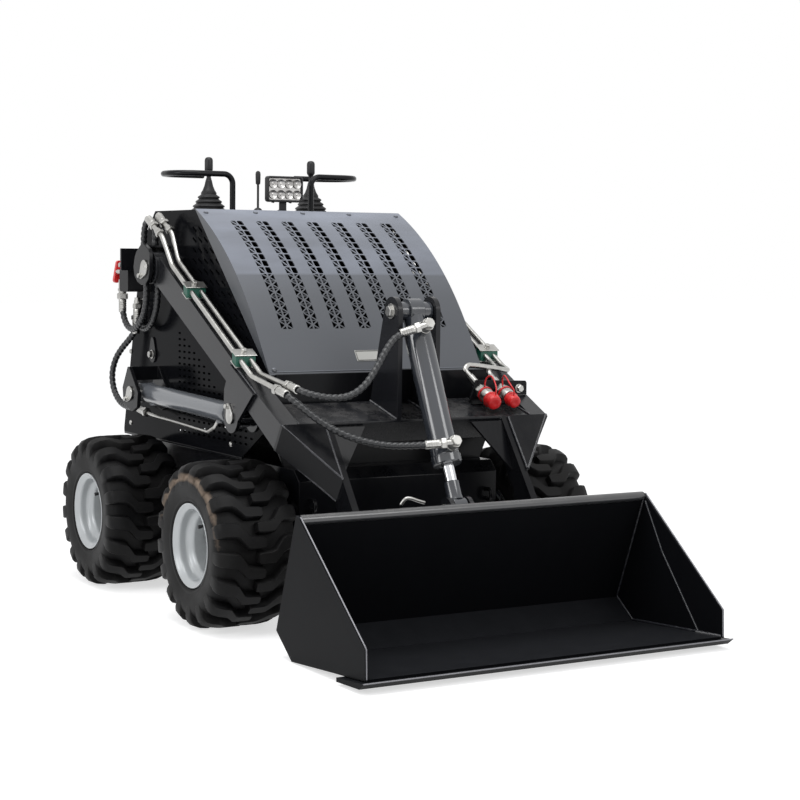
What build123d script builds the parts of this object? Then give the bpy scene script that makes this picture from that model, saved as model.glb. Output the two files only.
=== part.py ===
"""Compact wheeled skid steer loader with a stand-on rear platform.

Millimetres. +Z is up, the bucket faces -Y, and +X is the machine's left side.
The origin lies on the ground under the middle of the machine's length.
"""
import os
from math import cos, hypot, pi, radians, sin, tan

from build123d import *

os.makedirs("parts", exist_ok=True)

# Overall reach of the machine, before and behind the middle of the wheelbase
lip_reach = 1284
rear_reach = 1005
mid = (lip_reach - rear_reach) / 2

# Wheels
wheelbase = 765
tyre_d = 457
tyre_w = 240
lug_h = 23
lug_count = 17
rim_flange_r = 115.5
bead_r = 102.5
rim_well_r = 82
rim_half = 111.4
rim_wall = 5
disc_x = 17
disc_t = 8
hub_r = 60
axle_h = tyre_d / 2
running_gap = 0.4

# Chassis tub and body sheets
sheet = 5
plate = 8
tub_half = 320
tub_front = 500
tub_rear = 700
tub_floor = 150
tub_top = 430
nose_top = 400
bulkhead_y = 410
bulkhead_top = 688
body_half = 345
hood_sheet = 3
hood_half = body_half + hood_sheet
wheel_x = body_half + 15 + tyre_w / 2
deck_z = 1147
seam = 0.3

# Lift arms and what they pivot on
arm_in = body_half + 25
arm_out = arm_in + 54
lug_plate = 10
pivot_y = 265
pivot_z = 972
pivot_boss_r = 48
pin_r = 12.5
pivot_pin_r = 15
pin_gap = 0.3
outer_plate_in = arm_out + lug_plate + 6
outer_plate_t = 12

# Lift cylinders
lift_rear_y = 382
lift_rear_z = 586
lift_front_y = -305
lift_front_z = 567
lift_barrel_r = 30
lift_rod_r = 16
lift_eye_r = 30
lift_eye_half = 24
rod_gap = 0.6

# Cross beam, mast and legs
beam_rear_y = -440
beam_rear_z = 609
beam_front_y = -592
beam_front_z = 568
beam_slope = (beam_rear_z - beam_front_z) / (beam_rear_y - beam_front_y)
beam_nose = ((beam_front_y, beam_front_z), (beam_front_y, beam_front_z - 6), (beam_front_y + 35, beam_front_z - 64))
arm_nose_top = (beam_front_y - 4, beam_front_z)
arm_nose_low = (beam_front_y + 37, beam_front_z - 68)
mast_pin_y = -555
mast_pin_z = 864
mast_ear_in = 53
mast_ear_t = 14
mast_ear_r = 40
leg_in = arm_in - 98
leg_t = 20
bucket_pin_y = -755
bucket_pin_z = 150
leg_boss_r = 38

# Tilt cylinder
tilt_eye_y = -800
tilt_eye_z = 347
tilt_barrel_r = 38
tilt_rod_r = 17

# Bucket, tipped back a little with its heel just off the ground
bucket_half = 537
edge_half = 560
side_t = 8
shell_t = 8


def at(y):
    """Y in the machine's frame of a place measured from the wheelbase's middle."""
    return mid + y


def pts(*places):
    """Outline points in the YZ plane, given from the wheelbase's middle."""
    return [(at(y), z) for y, z in places]


def side_plane(sign, inner, outer):
    """Plane whose extrusion by (outer - inner) fills that band on one side."""
    return Plane.YZ.offset(inner if sign > 0 else -outer)


sides = (("right", -1), ("left", 1))
axles = (("front", -wheelbase / 2), ("rear", wheelbase / 2))

# Wheels: a lugged tyre and a dished rim with its hub, each shaped once about the X axis
carcass_r = tyre_d / 2 - lug_h
half = tyre_w / 2
with BuildPart() as tyre:
    for row in (-1, 1):
        bar = [(row * -8, -46), (row * 36, -46), (row * 64, -18), (row * half, -11), (row * half, 31),
               (row * 62, 25), (row * 36, -13), (row * -8, -15)]
        for k in range(lug_count):
            turn = radians((k + (0.5 if row < 0 else 0)) * 360 / lug_count)
            tread = Plane(origin=(0, 0, 0), x_dir=(1, 0, 0), z_dir=(0, sin(turn), cos(turn)))
            with BuildSketch(tread.offset(carcass_r - 30)):
                Polygon(*bar, align=None)
            extrude(amount=lug_h + 40)
    with BuildSketch(Plane.XZ):
        crown = tyre_d / 2
        Polygon((-half, crown - 57), (-half, crown - 22), (-half + 26, crown), (half - 26, crown),
                (half, crown - 22), (half, crown - 57), (half - 20, crown - 60), (-half + 20, crown - 60), align=None)
    revolve(axis=Axis.X, mode=Mode.INTERSECT)
    with BuildSketch(Plane.XZ):
        shoulder = half - 7
        seat = rim_half - 9 - seam
        Polygon((-seat, bead_r + seam), (-seat, rim_flange_r + 1), (-half + 5, 138), (-half + 2, 168),
                (-shoulder, carcass_r - 17), (-60, carcass_r), (60, carcass_r), (shoulder, carcass_r - 17),
                (half - 2, 168), (half - 5, 138), (seat, rim_flange_r + 1), (seat, bead_r + seam), align=None)
    revolve(axis=Axis.X)

with BuildPart() as rim:
    with BuildSketch(Plane.XZ):
        with BuildLine():
            flange = rim_half - 9
            Polyline((-rim_half, rim_flange_r), (-flange, rim_flange_r), (-flange, bead_r), (-80, bead_r),
                     (-66, rim_well_r), (66, rim_well_r), (80, bead_r), (flange, bead_r),
                     (flange, rim_flange_r), (rim_half, rim_flange_r), (rim_half, bead_r - rim_wall),
                     (78, bead_r - rim_wall), (64, rim_well_r - rim_wall), (-64, rim_well_r - rim_wall),
                     (-78, bead_r - rim_wall), (-rim_half, bead_r - rim_wall), close=True)
        make_face()
        with BuildLine():
            Polyline((disc_x, 0), (disc_x, rim_well_r - 2), (disc_x - disc_t, rim_well_r - 2),
                     (disc_x - disc_t, hub_r), (-30, hub_r), (-30, 0), close=True)
        make_face()
    revolve(axis=Axis.X)

for axle, axle_y in axles:
    for side, sign in sides:
        facing = (0, 0, 0 if sign > 0 else 180)
        with BuildPart() as placed_tyre:
            with Locations((sign * wheel_x, at(axle_y), axle_h)):
                add(tyre.part, rotation=facing)
        placed_tyre.part.label = f"tyre_{axle}_{side}"
        export_step(placed_tyre.part, f"parts/tyre_{axle}_{side}.step")

        with BuildPart() as placed_rim:
            with Locations((sign * wheel_x, at(axle_y), axle_h)):
                add(rim.part, rotation=facing)
        placed_rim.part.label = f"rim_{axle}_{side}"
        export_step(placed_rim.part, f"parts/rim_{axle}_{side}.step")

# Drive motors: one beside each wheel hub, bolted to the tub's wall
with BuildPart() as drive_motors:
    for axle, axle_y in axles:
        for side, sign in sides:
            with BuildSketch(Plane.YZ.offset(sign * tub_half)):
                with Locations((at(axle_y), axle_h)):
                    Circle(hub_r)
            extrude(amount=sign * (wheel_x - 30 - running_gap - tub_half))
            with BuildSketch(Plane.YZ.offset(sign * tub_half)):
                with Locations((at(axle_y), axle_h)):
                    RectangleRounded(150, 130, 20)
            extrude(amount=sign * 16)
drive_motors.part.label = "drive_motors"
export_step(drive_motors.part, "parts/drive_motors.step")

# Chassis tub: folded plate, open at the top behind the bulkhead
with BuildPart() as frame_tub:
    with BuildSketch(Plane.YZ.offset(-tub_half)):
        Polygon(*pts((-tub_front, tub_floor + 30), (-tub_front, nose_top), (-tub_front + 30, tub_top),
                     (tub_rear, tub_top), (tub_rear, tub_floor), (-tub_front + 30, tub_floor)), align=None)
    extrude(amount=2 * tub_half)
    with BuildSketch(Plane.YZ.offset(-tub_half + plate)):
        Polygon(*pts((-tub_front + plate, tub_floor + 30 + plate / 2), (-tub_front + plate, nose_top - plate / 2),
                     (-tub_front + 30 + plate / 2, tub_top - plate), (-bulkhead_y + plate, tub_top - plate),
                     (-bulkhead_y + plate, tub_top + plate), (tub_rear - plate, tub_top + plate),
                     (tub_rear - plate, tub_floor + plate), (-tub_front + 30 + plate / 2, tub_floor + plate)),
                align=None)
    extrude(amount=2 * (tub_half - plate), mode=Mode.SUBTRACT)
    with BuildSketch(Plane.XZ.offset(-at(-bulkhead_y))):
        Polygon((-body_half, tub_top + 60), (-body_half, bulkhead_top), (body_half, bulkhead_top),
                (body_half, tub_top + 60), (tub_half, tub_top), (-tub_half, tub_top), align=None)
    extrude(amount=-plate)
    for side, sign in sides:
        with BuildSketch(Plane.XY.offset(tub_top)):
            with Locations((sign * (tub_half - plate + body_half) / 2, at((tub_rear - 190) / 2))):
                Rectangle(body_half - tub_half + plate, tub_rear + 190)
        extrude(amount=plate)
frame_tub.part.label = "frame_tub"
export_step(frame_tub.part, "parts/frame_tub.step")

# Body sheets: the hood's arched line is shared by hood and side panels
arch_top = (127, deck_z + 2)
arch_mid = (-105, deck_z - 142)
arch_low = (-284, bulkhead_top + 125)
hood_foot = (-375, bulkhead_top - 4)


def arch(drop):
    """Edges of the hood's line, lowered by a sheet thickness, from the foot to the top."""
    tilt = radians(40)
    shift = (drop * sin(tilt), -drop * cos(tilt))
    foot, low, middle, top = [(at(y) + shift[0], z + shift[1])
                              for y, z in (hood_foot, arch_low, arch_mid, arch_top)]
    Line(foot, low)
    ThreePointArc(low, middle, top)
    return foot, top


ledge_z = tub_top + plate
for side, sign in sides:
    with BuildPart() as side_panel:
        with BuildSketch(side_plane(sign, body_half - sheet, body_half)):
            with BuildLine():
                foot, top = arch(hood_sheet + seam)
                Polyline(top, (at(440), top[1]), (at(tub_rear - 148), deck_z - 106), (at(tub_rear), tub_top + 20),
                         (at(tub_rear), ledge_z),
                         (at(-190), ledge_z), (at(-bulkhead_y + plate), 560), (at(-bulkhead_y + plate), foot[1]),
                         foot)
            make_face()
        extrude(amount=sheet)
    side_panel.part.label = f"side_panel_{side}"
    export_step(side_panel.part, f"parts/side_panel_{side}.step")

hinge_y = arch_top[0] + 6.5
hinge_z = deck_z - 7
knuckle_r = 6.2
hinge_pin_r = 3
inner_half = body_half - sheet - seam
with BuildPart() as hood:
    with BuildSketch(Plane.YZ.offset(-hood_half)):
        with BuildLine():
            foot, top = arch(0)
            inner_foot, inner_top = arch(hood_sheet)
            Line(top, inner_top)
            Line(inner_foot, foot)
        make_face()
    extrude(amount=2 * hood_half)
    with BuildSketch(Plane.YZ.offset(-inner_half + 1)):
        Polygon(*pts((arch_top[0] - 2, deck_z + 0.5), (hinge_y, hinge_z + knuckle_r), (hinge_y - knuckle_r, hinge_z),
                     (arch_top[0] - 4, deck_z - 4)), align=None)
        with Locations((at(hinge_y), hinge_z)):
            Circle(knuckle_r)
            Circle(hinge_pin_r + pin_gap, mode=Mode.SUBTRACT)
    extrude(amount=2 * inner_half - 2)
hood.part.label = "hood"
export_step(hood.part, "parts/hood.step")

with BuildPart() as console_deck:
    with BuildSketch(Plane.YZ.offset(-inner_half)):
        Polygon(*pts((140, deck_z - 45), (140, deck_z), (447, deck_z), (480, deck_z - 28), (476, deck_z - 33),
                     (444, deck_z - sheet), (145, deck_z - sheet), (145, deck_z - 45)), align=None)
    extrude(amount=2 * inner_half)
console_deck.part.label = "console_deck"
export_step(console_deck.part, "parts/console_deck.step")

with BuildPart() as rear_panel:
    with BuildSketch(Plane.YZ.offset(-inner_half)):
        Polygon(*pts((481, deck_z - 30), (tub_rear - 152, deck_z - 110), (tub_rear - 6, tub_top + 20),
                     (tub_rear - 6, ledge_z), (tub_rear - 6 - sheet, ledge_z), (tub_rear - 6 - sheet, tub_top + 20),
                     (tub_rear - 157, deck_z - 113), (478, deck_z - 34)), align=None)
    extrude(amount=2 * inner_half)
rear_panel.part.label = "rear_panel"
export_step(rear_panel.part, "parts/rear_panel.step")

# Engine: crankcase, cooling shroud and two tilted cylinders
with BuildPart() as engine_block:
    with BuildSketch(Plane.XY.offset(tub_floor + plate)):
        with Locations((0, at(20))):
            Rectangle(tub_half + 40, 460)
    extrude(amount=tub_top - tub_floor + 12)
    with BuildSketch(Plane.XY.offset(tub_top + 20)):
        with Locations((0, at(-30))):
            Circle(150)
    extrude(amount=230)
engine_block.part.label = "engine_block"
export_step(engine_block.part, "parts/engine_block.step")

# Towers for the arm pivots and brackets for the lift cylinders: outer plate, web and inner pad
tower_outline = pts((208, 1003), (302, 1030), (465, 1030), (465, 960), (400, 900), (225, 905))
bracket_outline = pts((393, 666), (405, 666), (447, 600), (440, 548), (369, 530), (330, 545), (322, 590))
holder_sets = (("pivot_towers", tower_outline, (pivot_y, pivot_z), pivot_pin_r, (455, 962, 1030)),
               ("lift_brackets", bracket_outline, (lift_rear_y, lift_rear_z), pin_r, (395, 624, 666)))
for name, outline, (hole_y, hole_z), hole_r, (web_y, web_low, web_high) in holder_sets:
    with BuildPart() as holder:
        for side, sign in sides:
            for inner, thick in ((outer_plate_in, outer_plate_t), (body_half, lug_plate)):
                with BuildSketch(side_plane(sign, inner, inner + thick)):
                    Polygon(*outline, align=None)
                    with Locations((at(hole_y), hole_z)):
                        Circle(hole_r + pin_gap, mode=Mode.SUBTRACT)
                extrude(amount=thick)
            with BuildSketch(side_plane(sign, body_half, outer_plate_in)):
                Polygon(*pts((web_y, web_low), (web_y, web_high), (web_y + 10, web_high), (web_y + 10, web_low)),
                        align=None)
            extrude(amount=outer_plate_in - body_half)
    holder.part.label = name
    export_step(holder.part, f"parts/{name}.step")

with BuildPart() as chassis_pins:
    for side, sign in sides:
        for pin_y, pin_z, radius in ((pivot_y, pivot_z, pivot_pin_r), (lift_rear_y, lift_rear_z, pin_r)):
            with BuildSketch(side_plane(sign, body_half, outer_plate_in + outer_plate_t)):
                with Locations((at(pin_y), pin_z)):
                    Circle(radius)
            extrude(amount=outer_plate_in + outer_plate_t - body_half)
            with BuildSketch(side_plane(sign, outer_plate_in + outer_plate_t, outer_plate_in + outer_plate_t + 6)):
                with Locations((at(pin_y), pin_z)):
                    Circle(radius + 9)
                    with Locations((-12, 20)):
                        Circle(9)
            extrude(amount=6)
    with BuildSketch(Plane.YZ.offset(-inner_half)):
        with Locations((at(hinge_y), hinge_z)):
            Circle(hinge_pin_r)
    extrude(amount=2 * inner_half)
chassis_pins.part.label = "chassis_pins"
export_step(chassis_pins.part, "parts/chassis_pins.step")

# Lift arms: straight box arms with a pivot boss behind and cheek plates round the cylinder's pin
arm_top_front = (-455, 637)
for side, sign in sides:
    with BuildPart() as arm:
        with BuildSketch(side_plane(sign, arm_in, arm_out)):
            Polygon(*pts((225, 1006), arm_top_front, arm_nose_top, arm_nose_low, (-399, 587), (245, 922)),
                    align=None)
            with Locations((at(pivot_y), pivot_z)):
                Circle(pivot_boss_r)
        extrude(amount=arm_out - arm_in)
        for inner in (arm_in - lug_plate, arm_out):
            with BuildSketch(side_plane(sign, inner, inner + lug_plate)):
                Polygon(*pts((-446, 638), (-300, 712), (-262, 640), (-258, 566), (-312, 525)), align=None)
                with Locations((at(lift_front_y), lift_front_z)):
                    Circle(46)
            extrude(amount=lug_plate)
            with BuildSketch(side_plane(sign, inner, inner + lug_plate)):
                with Locations((at(pivot_y), pivot_z)):
                    Circle(pivot_boss_r)
            extrude(amount=lug_plate)
        for (hole_y, hole_z), radius in (((pivot_y, pivot_z), pivot_pin_r), ((lift_front_y, lift_front_z), pin_r)):
            with BuildSketch(side_plane(sign, arm_in - lug_plate, arm_out + lug_plate)):
                with Locations((at(hole_y), hole_z)):
                    Circle(radius + pin_gap)
            extrude(amount=arm_out - arm_in + 2 * lug_plate, mode=Mode.SUBTRACT)
    arm.part.label = f"arm_{side}"
    export_step(arm.part, f"parts/arm_{side}.step")

with BuildPart() as arm_pins:
    for side, sign in sides:
        for inner in (arm_in - lug_plate, arm_out):
            with BuildSketch(side_plane(sign, inner, inner + lug_plate)):
                with Locations((at(lift_front_y), lift_front_z)):
                    Circle(pin_r)
            extrude(amount=lug_plate)
        with BuildSketch(side_plane(sign, arm_out + lug_plate, arm_out + lug_plate + 5)):
            with Locations((at(lift_front_y), lift_front_z)):
                Circle(pin_r + 8)
                with Locations((-10, 26)):
                    Circle(9)
        extrude(amount=5)
    with BuildSketch(Plane.YZ.offset(-mast_ear_in - mast_ear_t - 12)):
        with Locations((at(mast_pin_y), mast_pin_z)):
            Circle(pin_r)
    extrude(amount=2 * (mast_ear_in + mast_ear_t + 12))
arm_pins.part.label = "arm_pins"
export_step(arm_pins.part, "parts/arm_pins.step")

with BuildPart() as cross_beam:
    with BuildSketch(Plane.YZ.offset(-arm_in)):
        Polygon(*pts((beam_rear_y, beam_rear_z), *beam_nose, (-450, 530)), align=None)
    extrude(amount=2 * arm_in)
cross_beam.part.label = "cross_beam"
export_step(cross_beam.part, "parts/cross_beam.step")

with BuildPart() as mast:
    for side, sign in sides:
        with BuildSketch(side_plane(sign, mast_ear_in, mast_ear_in + mast_ear_t)):
            Polygon(*pts((beam_rear_y, beam_rear_z), (mast_pin_y + mast_ear_r, mast_pin_z),
                         (mast_pin_y - mast_ear_r, mast_pin_z), (beam_front_y, beam_front_z)), align=None)
            with Locations((at(mast_pin_y), mast_pin_z)):
                Circle(mast_ear_r)
                Circle(pin_r + pin_gap, mode=Mode.SUBTRACT)
        extrude(amount=mast_ear_t)
    with BuildSketch(Plane.YZ.offset(-mast_ear_in)):
        Polygon(*pts((beam_rear_y, beam_rear_z), (beam_rear_y - 27, 700), (beam_rear_y - 37, 698),
                     (beam_rear_y - 10, beam_rear_z - 10 * beam_slope)), align=None)
    extrude(amount=2 * mast_ear_in)
mast.part.label = "mast"
export_step(mast.part, "parts/mast.step")

# Legs: thick plates down to the bucket's pivots, with a boxed corner out to each arm
leg_knee = (-700, 427)
leg_low = (-661, 365)
with BuildPart() as legs:
    for side, sign in sides:
        with BuildSketch(side_plane(sign, leg_in, leg_in + leg_t)):
            Polygon(*pts((-765, 332), (bucket_pin_y - leg_boss_r, bucket_pin_z),
                         (bucket_pin_y + leg_boss_r, bucket_pin_z), leg_low, *reversed(beam_nose)), align=None)
            with Locations((at(bucket_pin_y), bucket_pin_z)):
                Circle(leg_boss_r)
                Circle(pin_r + pin_gap, mode=Mode.SUBTRACT)
        extrude(amount=leg_t)
        with BuildSketch(Plane.YZ.offset(sign * (leg_in + leg_t))):
            Polygon(*pts(arm_nose_top, arm_nose_low, leg_low, leg_knee), align=None)
        with BuildSketch(Plane.YZ.offset(sign * arm_out)):
            Polygon(*pts(arm_nose_top, arm_nose_low, (arm_nose_low[0] - 9, arm_nose_low[1] - 5),
                         (arm_nose_top[0] - 9, arm_nose_top[1] - 5)), align=None)
        loft()
        with BuildSketch(Plane(origin=(sign * leg_in, at(beam_front_y + 2), beam_front_z - 16), x_dir=(-sign, 0, 0),
                               z_dir=(0, -sign * 0.922, sign * 0.387))):
            Polygon((0, 0), (102, 0), (0, 146), align=None)
        extrude(amount=sign * 8)
legs.part.label = "legs"
export_step(legs.part, "parts/legs.step")

# Lift cylinders: barrels on the chassis, rods whose eyes sit between the arm's cheek plates
lift_x = (arm_in + arm_out) / 2
lift_len = hypot(lift_front_y - lift_rear_y, lift_front_z - lift_rear_z)
lift_dir = (0, (lift_front_y - lift_rear_y) / lift_len, (lift_front_z - lift_rear_z) / lift_len)
lift_barrel_end = lift_len - 72
for side, sign in sides:
    rear_pin = (sign * lift_x, at(lift_rear_y), lift_rear_z)
    front_pin = (sign * lift_x, at(lift_front_y), lift_front_z)
    bore_plane = Plane(origin=rear_pin, x_dir=(1, 0, 0), z_dir=lift_dir)
    with BuildPart() as lift_barrel:
        with BuildSketch(Plane.YZ.offset(sign * lift_x - lift_eye_half)):
            with Locations((at(lift_rear_y), lift_rear_z)):
                Circle(lift_eye_r)
        extrude(amount=2 * lift_eye_half)
        with BuildSketch(bore_plane.offset(20)):
            Circle(lift_barrel_r)
        extrude(amount=lift_barrel_end - 20)
        with BuildSketch(bore_plane.offset(45)):
            Circle(lift_rod_r + rod_gap)
        extrude(amount=lift_barrel_end, mode=Mode.SUBTRACT)
        with BuildSketch(Plane.YZ.offset(sign * lift_x - lift_eye_half)):
            with Locations((at(lift_rear_y), lift_rear_z)):
                Circle(pin_r + pin_gap)
        extrude(amount=2 * lift_eye_half, mode=Mode.SUBTRACT)
        with BuildLine():
            FilletPolyline((sign * lift_x, at(400), 526), (sign * lift_x, at(350), 521),
                           (sign * lift_x, at(-72), 503), (sign * lift_x, at(-118), 520),
                           (sign * lift_x, at(-152), lift_front_z - 18), radius=(22, 22, 22))
        with BuildSketch(Plane(origin=(sign * lift_x, at(400), 526), z_dir=(0, -50, -5))):
            Circle(5)
        sweep()
        with BuildSketch(bore_plane.offset(45)):
            Circle(lift_rod_r + rod_gap)
        extrude(amount=lift_barrel_end, mode=Mode.SUBTRACT)
    lift_barrel.part.label = f"lift_barrel_{side}"
    export_step(lift_barrel.part, f"parts/lift_barrel_{side}.step")

    with BuildPart() as lift_rod:
        with BuildSketch(bore_plane.offset(60)):
            Circle(lift_rod_r)
        extrude(amount=lift_len - 60 - 20)
        with BuildSketch(Plane.YZ.offset(sign * lift_x - lift_eye_half)):
            with Locations((at(lift_front_y), lift_front_z)):
                Circle(lift_eye_r)
        extrude(amount=2 * lift_eye_half)
    lift_rod.part.label = f"lift_rod_{side}"
    export_step(lift_rod.part, f"parts/lift_rod_{side}.step")

# Tilt cylinder, between the mast's ears and the coupling plate
tilt_len = hypot(tilt_eye_y - mast_pin_y, tilt_eye_z - mast_pin_z)
tilt_dir = (0, (tilt_eye_y - mast_pin_y) / tilt_len, (tilt_eye_z - mast_pin_z) / tilt_len)
tilt_plane = Plane(origin=(0, at(mast_pin_y), mast_pin_z), x_dir=(1, 0, 0), z_dir=tilt_dir)
tilt_barrel_end = tilt_len - 122
tilt_upper_end = (-42, -634, 818)
tilt_lower_end = (-42, -774, 518.4)
with BuildPart() as tilt_barrel:
    with BuildSketch(Plane.YZ.offset(-mast_ear_in + 0.5)):
        with Locations((at(mast_pin_y), mast_pin_z)):
            Circle(26)
    extrude(amount=2 * mast_ear_in - 1)
    with BuildSketch(Plane.YZ.offset(-22)):
        with Locations((at(mast_pin_y), mast_pin_z)):
            Circle(35)
    extrude(amount=44)
    with BuildSketch(tilt_plane.offset(20)):
        Circle(30)
    extrude(amount=40)
    with BuildSketch(tilt_plane.offset(58)):
        Circle(tilt_barrel_r)
    extrude(amount=tilt_barrel_end - 58)
    with BuildSketch(tilt_plane.offset(tilt_barrel_end - 24)):
        Circle(tilt_barrel_r + 3)
    extrude(amount=24)
    for run, hose_end, hose_way in ((66, tilt_upper_end, (42, -14, 14)), (406, tilt_lower_end, (64, -24, 5))):
        with BuildSketch(Plane(tilt_plane.offset(run).origin, x_dir=(1, 0, 0), z_dir=(0, tilt_dir[2], -tilt_dir[1]))):
            Circle(13)
        extrude(amount=76)
        way = Vector(*hose_way).normalized()
        with BuildSketch(Plane(origin=Vector(hose_end[0], at(hose_end[1]), hose_end[2]) + way * seam, z_dir=way)):
            Circle(9)
        extrude(amount=40)
    with BuildSketch(tilt_plane.offset(90)):
        Circle(tilt_rod_r + rod_gap)
    extrude(amount=tilt_barrel_end, mode=Mode.SUBTRACT)
    with BuildSketch(Plane.YZ.offset(-mast_ear_in)):
        with Locations((at(mast_pin_y), mast_pin_z)):
            Circle(pin_r + pin_gap)
    extrude(amount=2 * mast_ear_in, mode=Mode.SUBTRACT)
tilt_barrel.part.label = "tilt_barrel"
export_step(tilt_barrel.part, "parts/tilt_barrel.step")

tilt_eye_half = 20
with BuildPart() as tilt_rod:
    with BuildSketch(tilt_plane.offset(135)):
        Circle(tilt_rod_r)
    extrude(amount=tilt_len - 135 - 15)
    with BuildSketch(Plane.YZ.offset(-tilt_eye_half)):
        with Locations((at(tilt_eye_y), tilt_eye_z)):
            Circle(28)
    extrude(amount=2 * tilt_eye_half)
tilt_rod.part.label = "tilt_rod"
export_step(tilt_rod.part, "parts/tilt_rod.step")

# Bucket: floor, heel and back in one shell between two cheeks, a bar along the top and a cutting edge
back_top = (-924, 367)
back_low = (-808, 64)
heel = (-883, 10)
heel_under = (-887, 3)
floor_front = (-1262, 33)
back_len = hypot(back_low[0] - back_top[0], back_low[1] - back_top[1])
down = ((back_low[0] - back_top[0]) / back_len, (back_low[1] - back_top[1]) / back_len)
behind = (-down[1], down[0])


def on_back(run, off):
    """Place behind the bucket: run down its back from the top, off away from it."""
    return (back_top[0] + run * down[0] + off * behind[0], back_top[1] + run * down[1] + off * behind[1])


with BuildPart() as bucket:
    with BuildSketch(Plane.YZ.offset(-bucket_half + side_t)):
        Polygon(*pts(back_top, back_low, heel, floor_front, (floor_front[0], floor_front[1] - shell_t), heel_under,
                     on_back(back_len, shell_t), on_back(0, shell_t)), align=None)
        with Locations((at(-914), 362)):
            Circle(13)
    extrude(amount=2 * (bucket_half - side_t))
    for side, sign in sides:
        with BuildSketch(side_plane(sign, bucket_half - side_t, bucket_half)):
            Polygon(*pts(on_back(0, 18), back_top, (-1261, 104), (-1264, 30), heel_under,
                         on_back(back_len, shell_t)), align=None)
        extrude(amount=side_t)
    with BuildSketch(Plane.YZ.offset(-edge_half)):
        Polygon(*pts((-lip_reach, 28), (-1150, 18.5), (-1150, 8), (-1262, 12)), align=None)
    extrude(amount=2 * edge_half)
bucket.part.label = "bucket"
export_step(bucket.part, "parts/bucket.step")

# Coupling plate behind the bucket, with lugs for the legs and the tilt rod
skin_off = shell_t + seam
couple_t = 12
couple_half = leg_in + leg_t + 28
face_off = skin_off + couple_t
with BuildPart() as attach_plate:
    with BuildSketch(Plane.YZ.offset(-couple_half)):
        Polygon(*pts(on_back(40, skin_off), on_back(40, face_off), on_back(300, face_off),
                     on_back(300, skin_off)), align=None)
    extrude(amount=2 * couple_half)
    for side, sign in sides:
        for inner in (leg_in - 5 - 12, leg_in + leg_t + 5):
            with BuildSketch(side_plane(sign, inner, inner + 12)):
                Polygon(*pts(on_back(200, face_off - 1), on_back(300, face_off - 1),
                             (bucket_pin_y + 25, bucket_pin_z - 15), (bucket_pin_y + 10, bucket_pin_z + 30)),
                        align=None)
                with Locations((at(bucket_pin_y), bucket_pin_z)):
                    Circle(32)
                    Circle(pin_r + pin_gap, mode=Mode.SUBTRACT)
            extrude(amount=12)
        with BuildSketch(side_plane(sign, tilt_eye_half + 4, tilt_eye_half + 4 + 12)):
            Polygon(*pts(on_back(45, face_off - 1), on_back(160, face_off - 1),
                         (tilt_eye_y + 25, tilt_eye_z - 20), (tilt_eye_y, tilt_eye_z + 30)), align=None)
            with Locations((at(tilt_eye_y), tilt_eye_z)):
                Circle(30)
                Circle(pin_r + pin_gap, mode=Mode.SUBTRACT)
        extrude(amount=12)
attach_plate.part.label = "attach_plate"
export_step(attach_plate.part, "parts/attach_plate.step")

with BuildPart() as bucket_pins:
    for side, sign in sides:
        with BuildSketch(side_plane(sign, leg_in - 17, leg_in + leg_t + 17)):
            with Locations((at(bucket_pin_y), bucket_pin_z)):
                Circle(pin_r)
        extrude(amount=leg_t + 34)
        with BuildSketch(side_plane(sign, tilt_eye_half + 4, tilt_eye_half + 26)):
            with Locations((at(tilt_eye_y), tilt_eye_z)):
                Circle(pin_r)
        extrude(amount=22)
bucket_pins.part.label = "bucket_pins"
export_step(bucket_pins.part, "parts/bucket_pins.step")

# Stand-on platform behind the rear wheels
with BuildPart() as platform:
    with BuildSketch(Plane.YZ.offset(-300)):
        Polygon(*pts((tub_rear, 190), (rear_reach, 190), (rear_reach, 230), (rear_reach - 6, 230),
                     (rear_reach - 6, 197), (tub_rear + 6, 197), (tub_rear + 6, 320), (tub_rear, 320)), align=None)
    extrude(amount=600)
platform.part.label = "platform"
export_step(platform.part, "parts/platform.step")

# Controls on the deck: two sticks in bellows, their guards, the throttle and a work lamp
stick_x = 180
stick_y = 403
with BuildPart() as joysticks:
    for side, sign in sides:
        for k in range(5):
            low, high = deck_z + 15 * k, deck_z + 15 * (k + 1)
            wide, narrow = 86 - 14 * k, 68 - 14 * k
            with BuildSketch(Plane.XY.offset(low)):
                with Locations((sign * stick_x, at(stick_y))):
                    Rectangle(wide, wide)
            with BuildSketch(Plane.XY.offset(high)):
                with Locations((sign * stick_x, at(stick_y))):
                    Rectangle(narrow, narrow)
            loft()
        with BuildSketch(Plane.XY.offset(deck_z + 75)):
            with Locations((sign * stick_x, at(stick_y))):
                Circle(7)
        extrude(amount=60)
        with BuildSketch(Plane.XY.offset(deck_z + 128)):
            with Locations((sign * stick_x, at(stick_y))):
                Circle(15)
        extrude(amount=43)
joysticks.part.label = "joysticks"
export_step(joysticks.part, "parts/joysticks.step")

with BuildPart() as stick_guards:
    for side, sign in sides:
        foot = (sign * 137, at(319), deck_z)
        with BuildLine() as guard_line:
            FilletPolyline(foot, (sign * 137, at(319), 1263), (sign * 323, at(319), 1263),
                           (sign * 323, at(485), 1263), (sign * 160, at(485), 1263), radius=(30, 75, 75))
        with BuildSketch(Plane(origin=foot, z_dir=(0, 0, 1))):
            Circle(9)
        sweep(path=guard_line.line)
stick_guards.part.label = "stick_guards"
export_step(stick_guards.part, "parts/stick_guards.step")

with BuildPart() as throttle_lever:
    with BuildSketch(Plane.XY.offset(deck_z)):
        with Locations((-83, at(250))):
            Circle(16)
    extrude(amount=12)
    with BuildSketch(Plane.XY.offset(deck_z + 12)):
        with Locations((-83, at(250))):
            Circle(3.5)
    extrude(amount=90)
    with BuildSketch(Plane.XY.offset(deck_z + 84)):
        with Locations((-83, at(250))):
            Circle(8)
    extrude(amount=42)
throttle_lever.part.label = "throttle_lever"
export_step(throttle_lever.part, "parts/throttle_lever.step")

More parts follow.
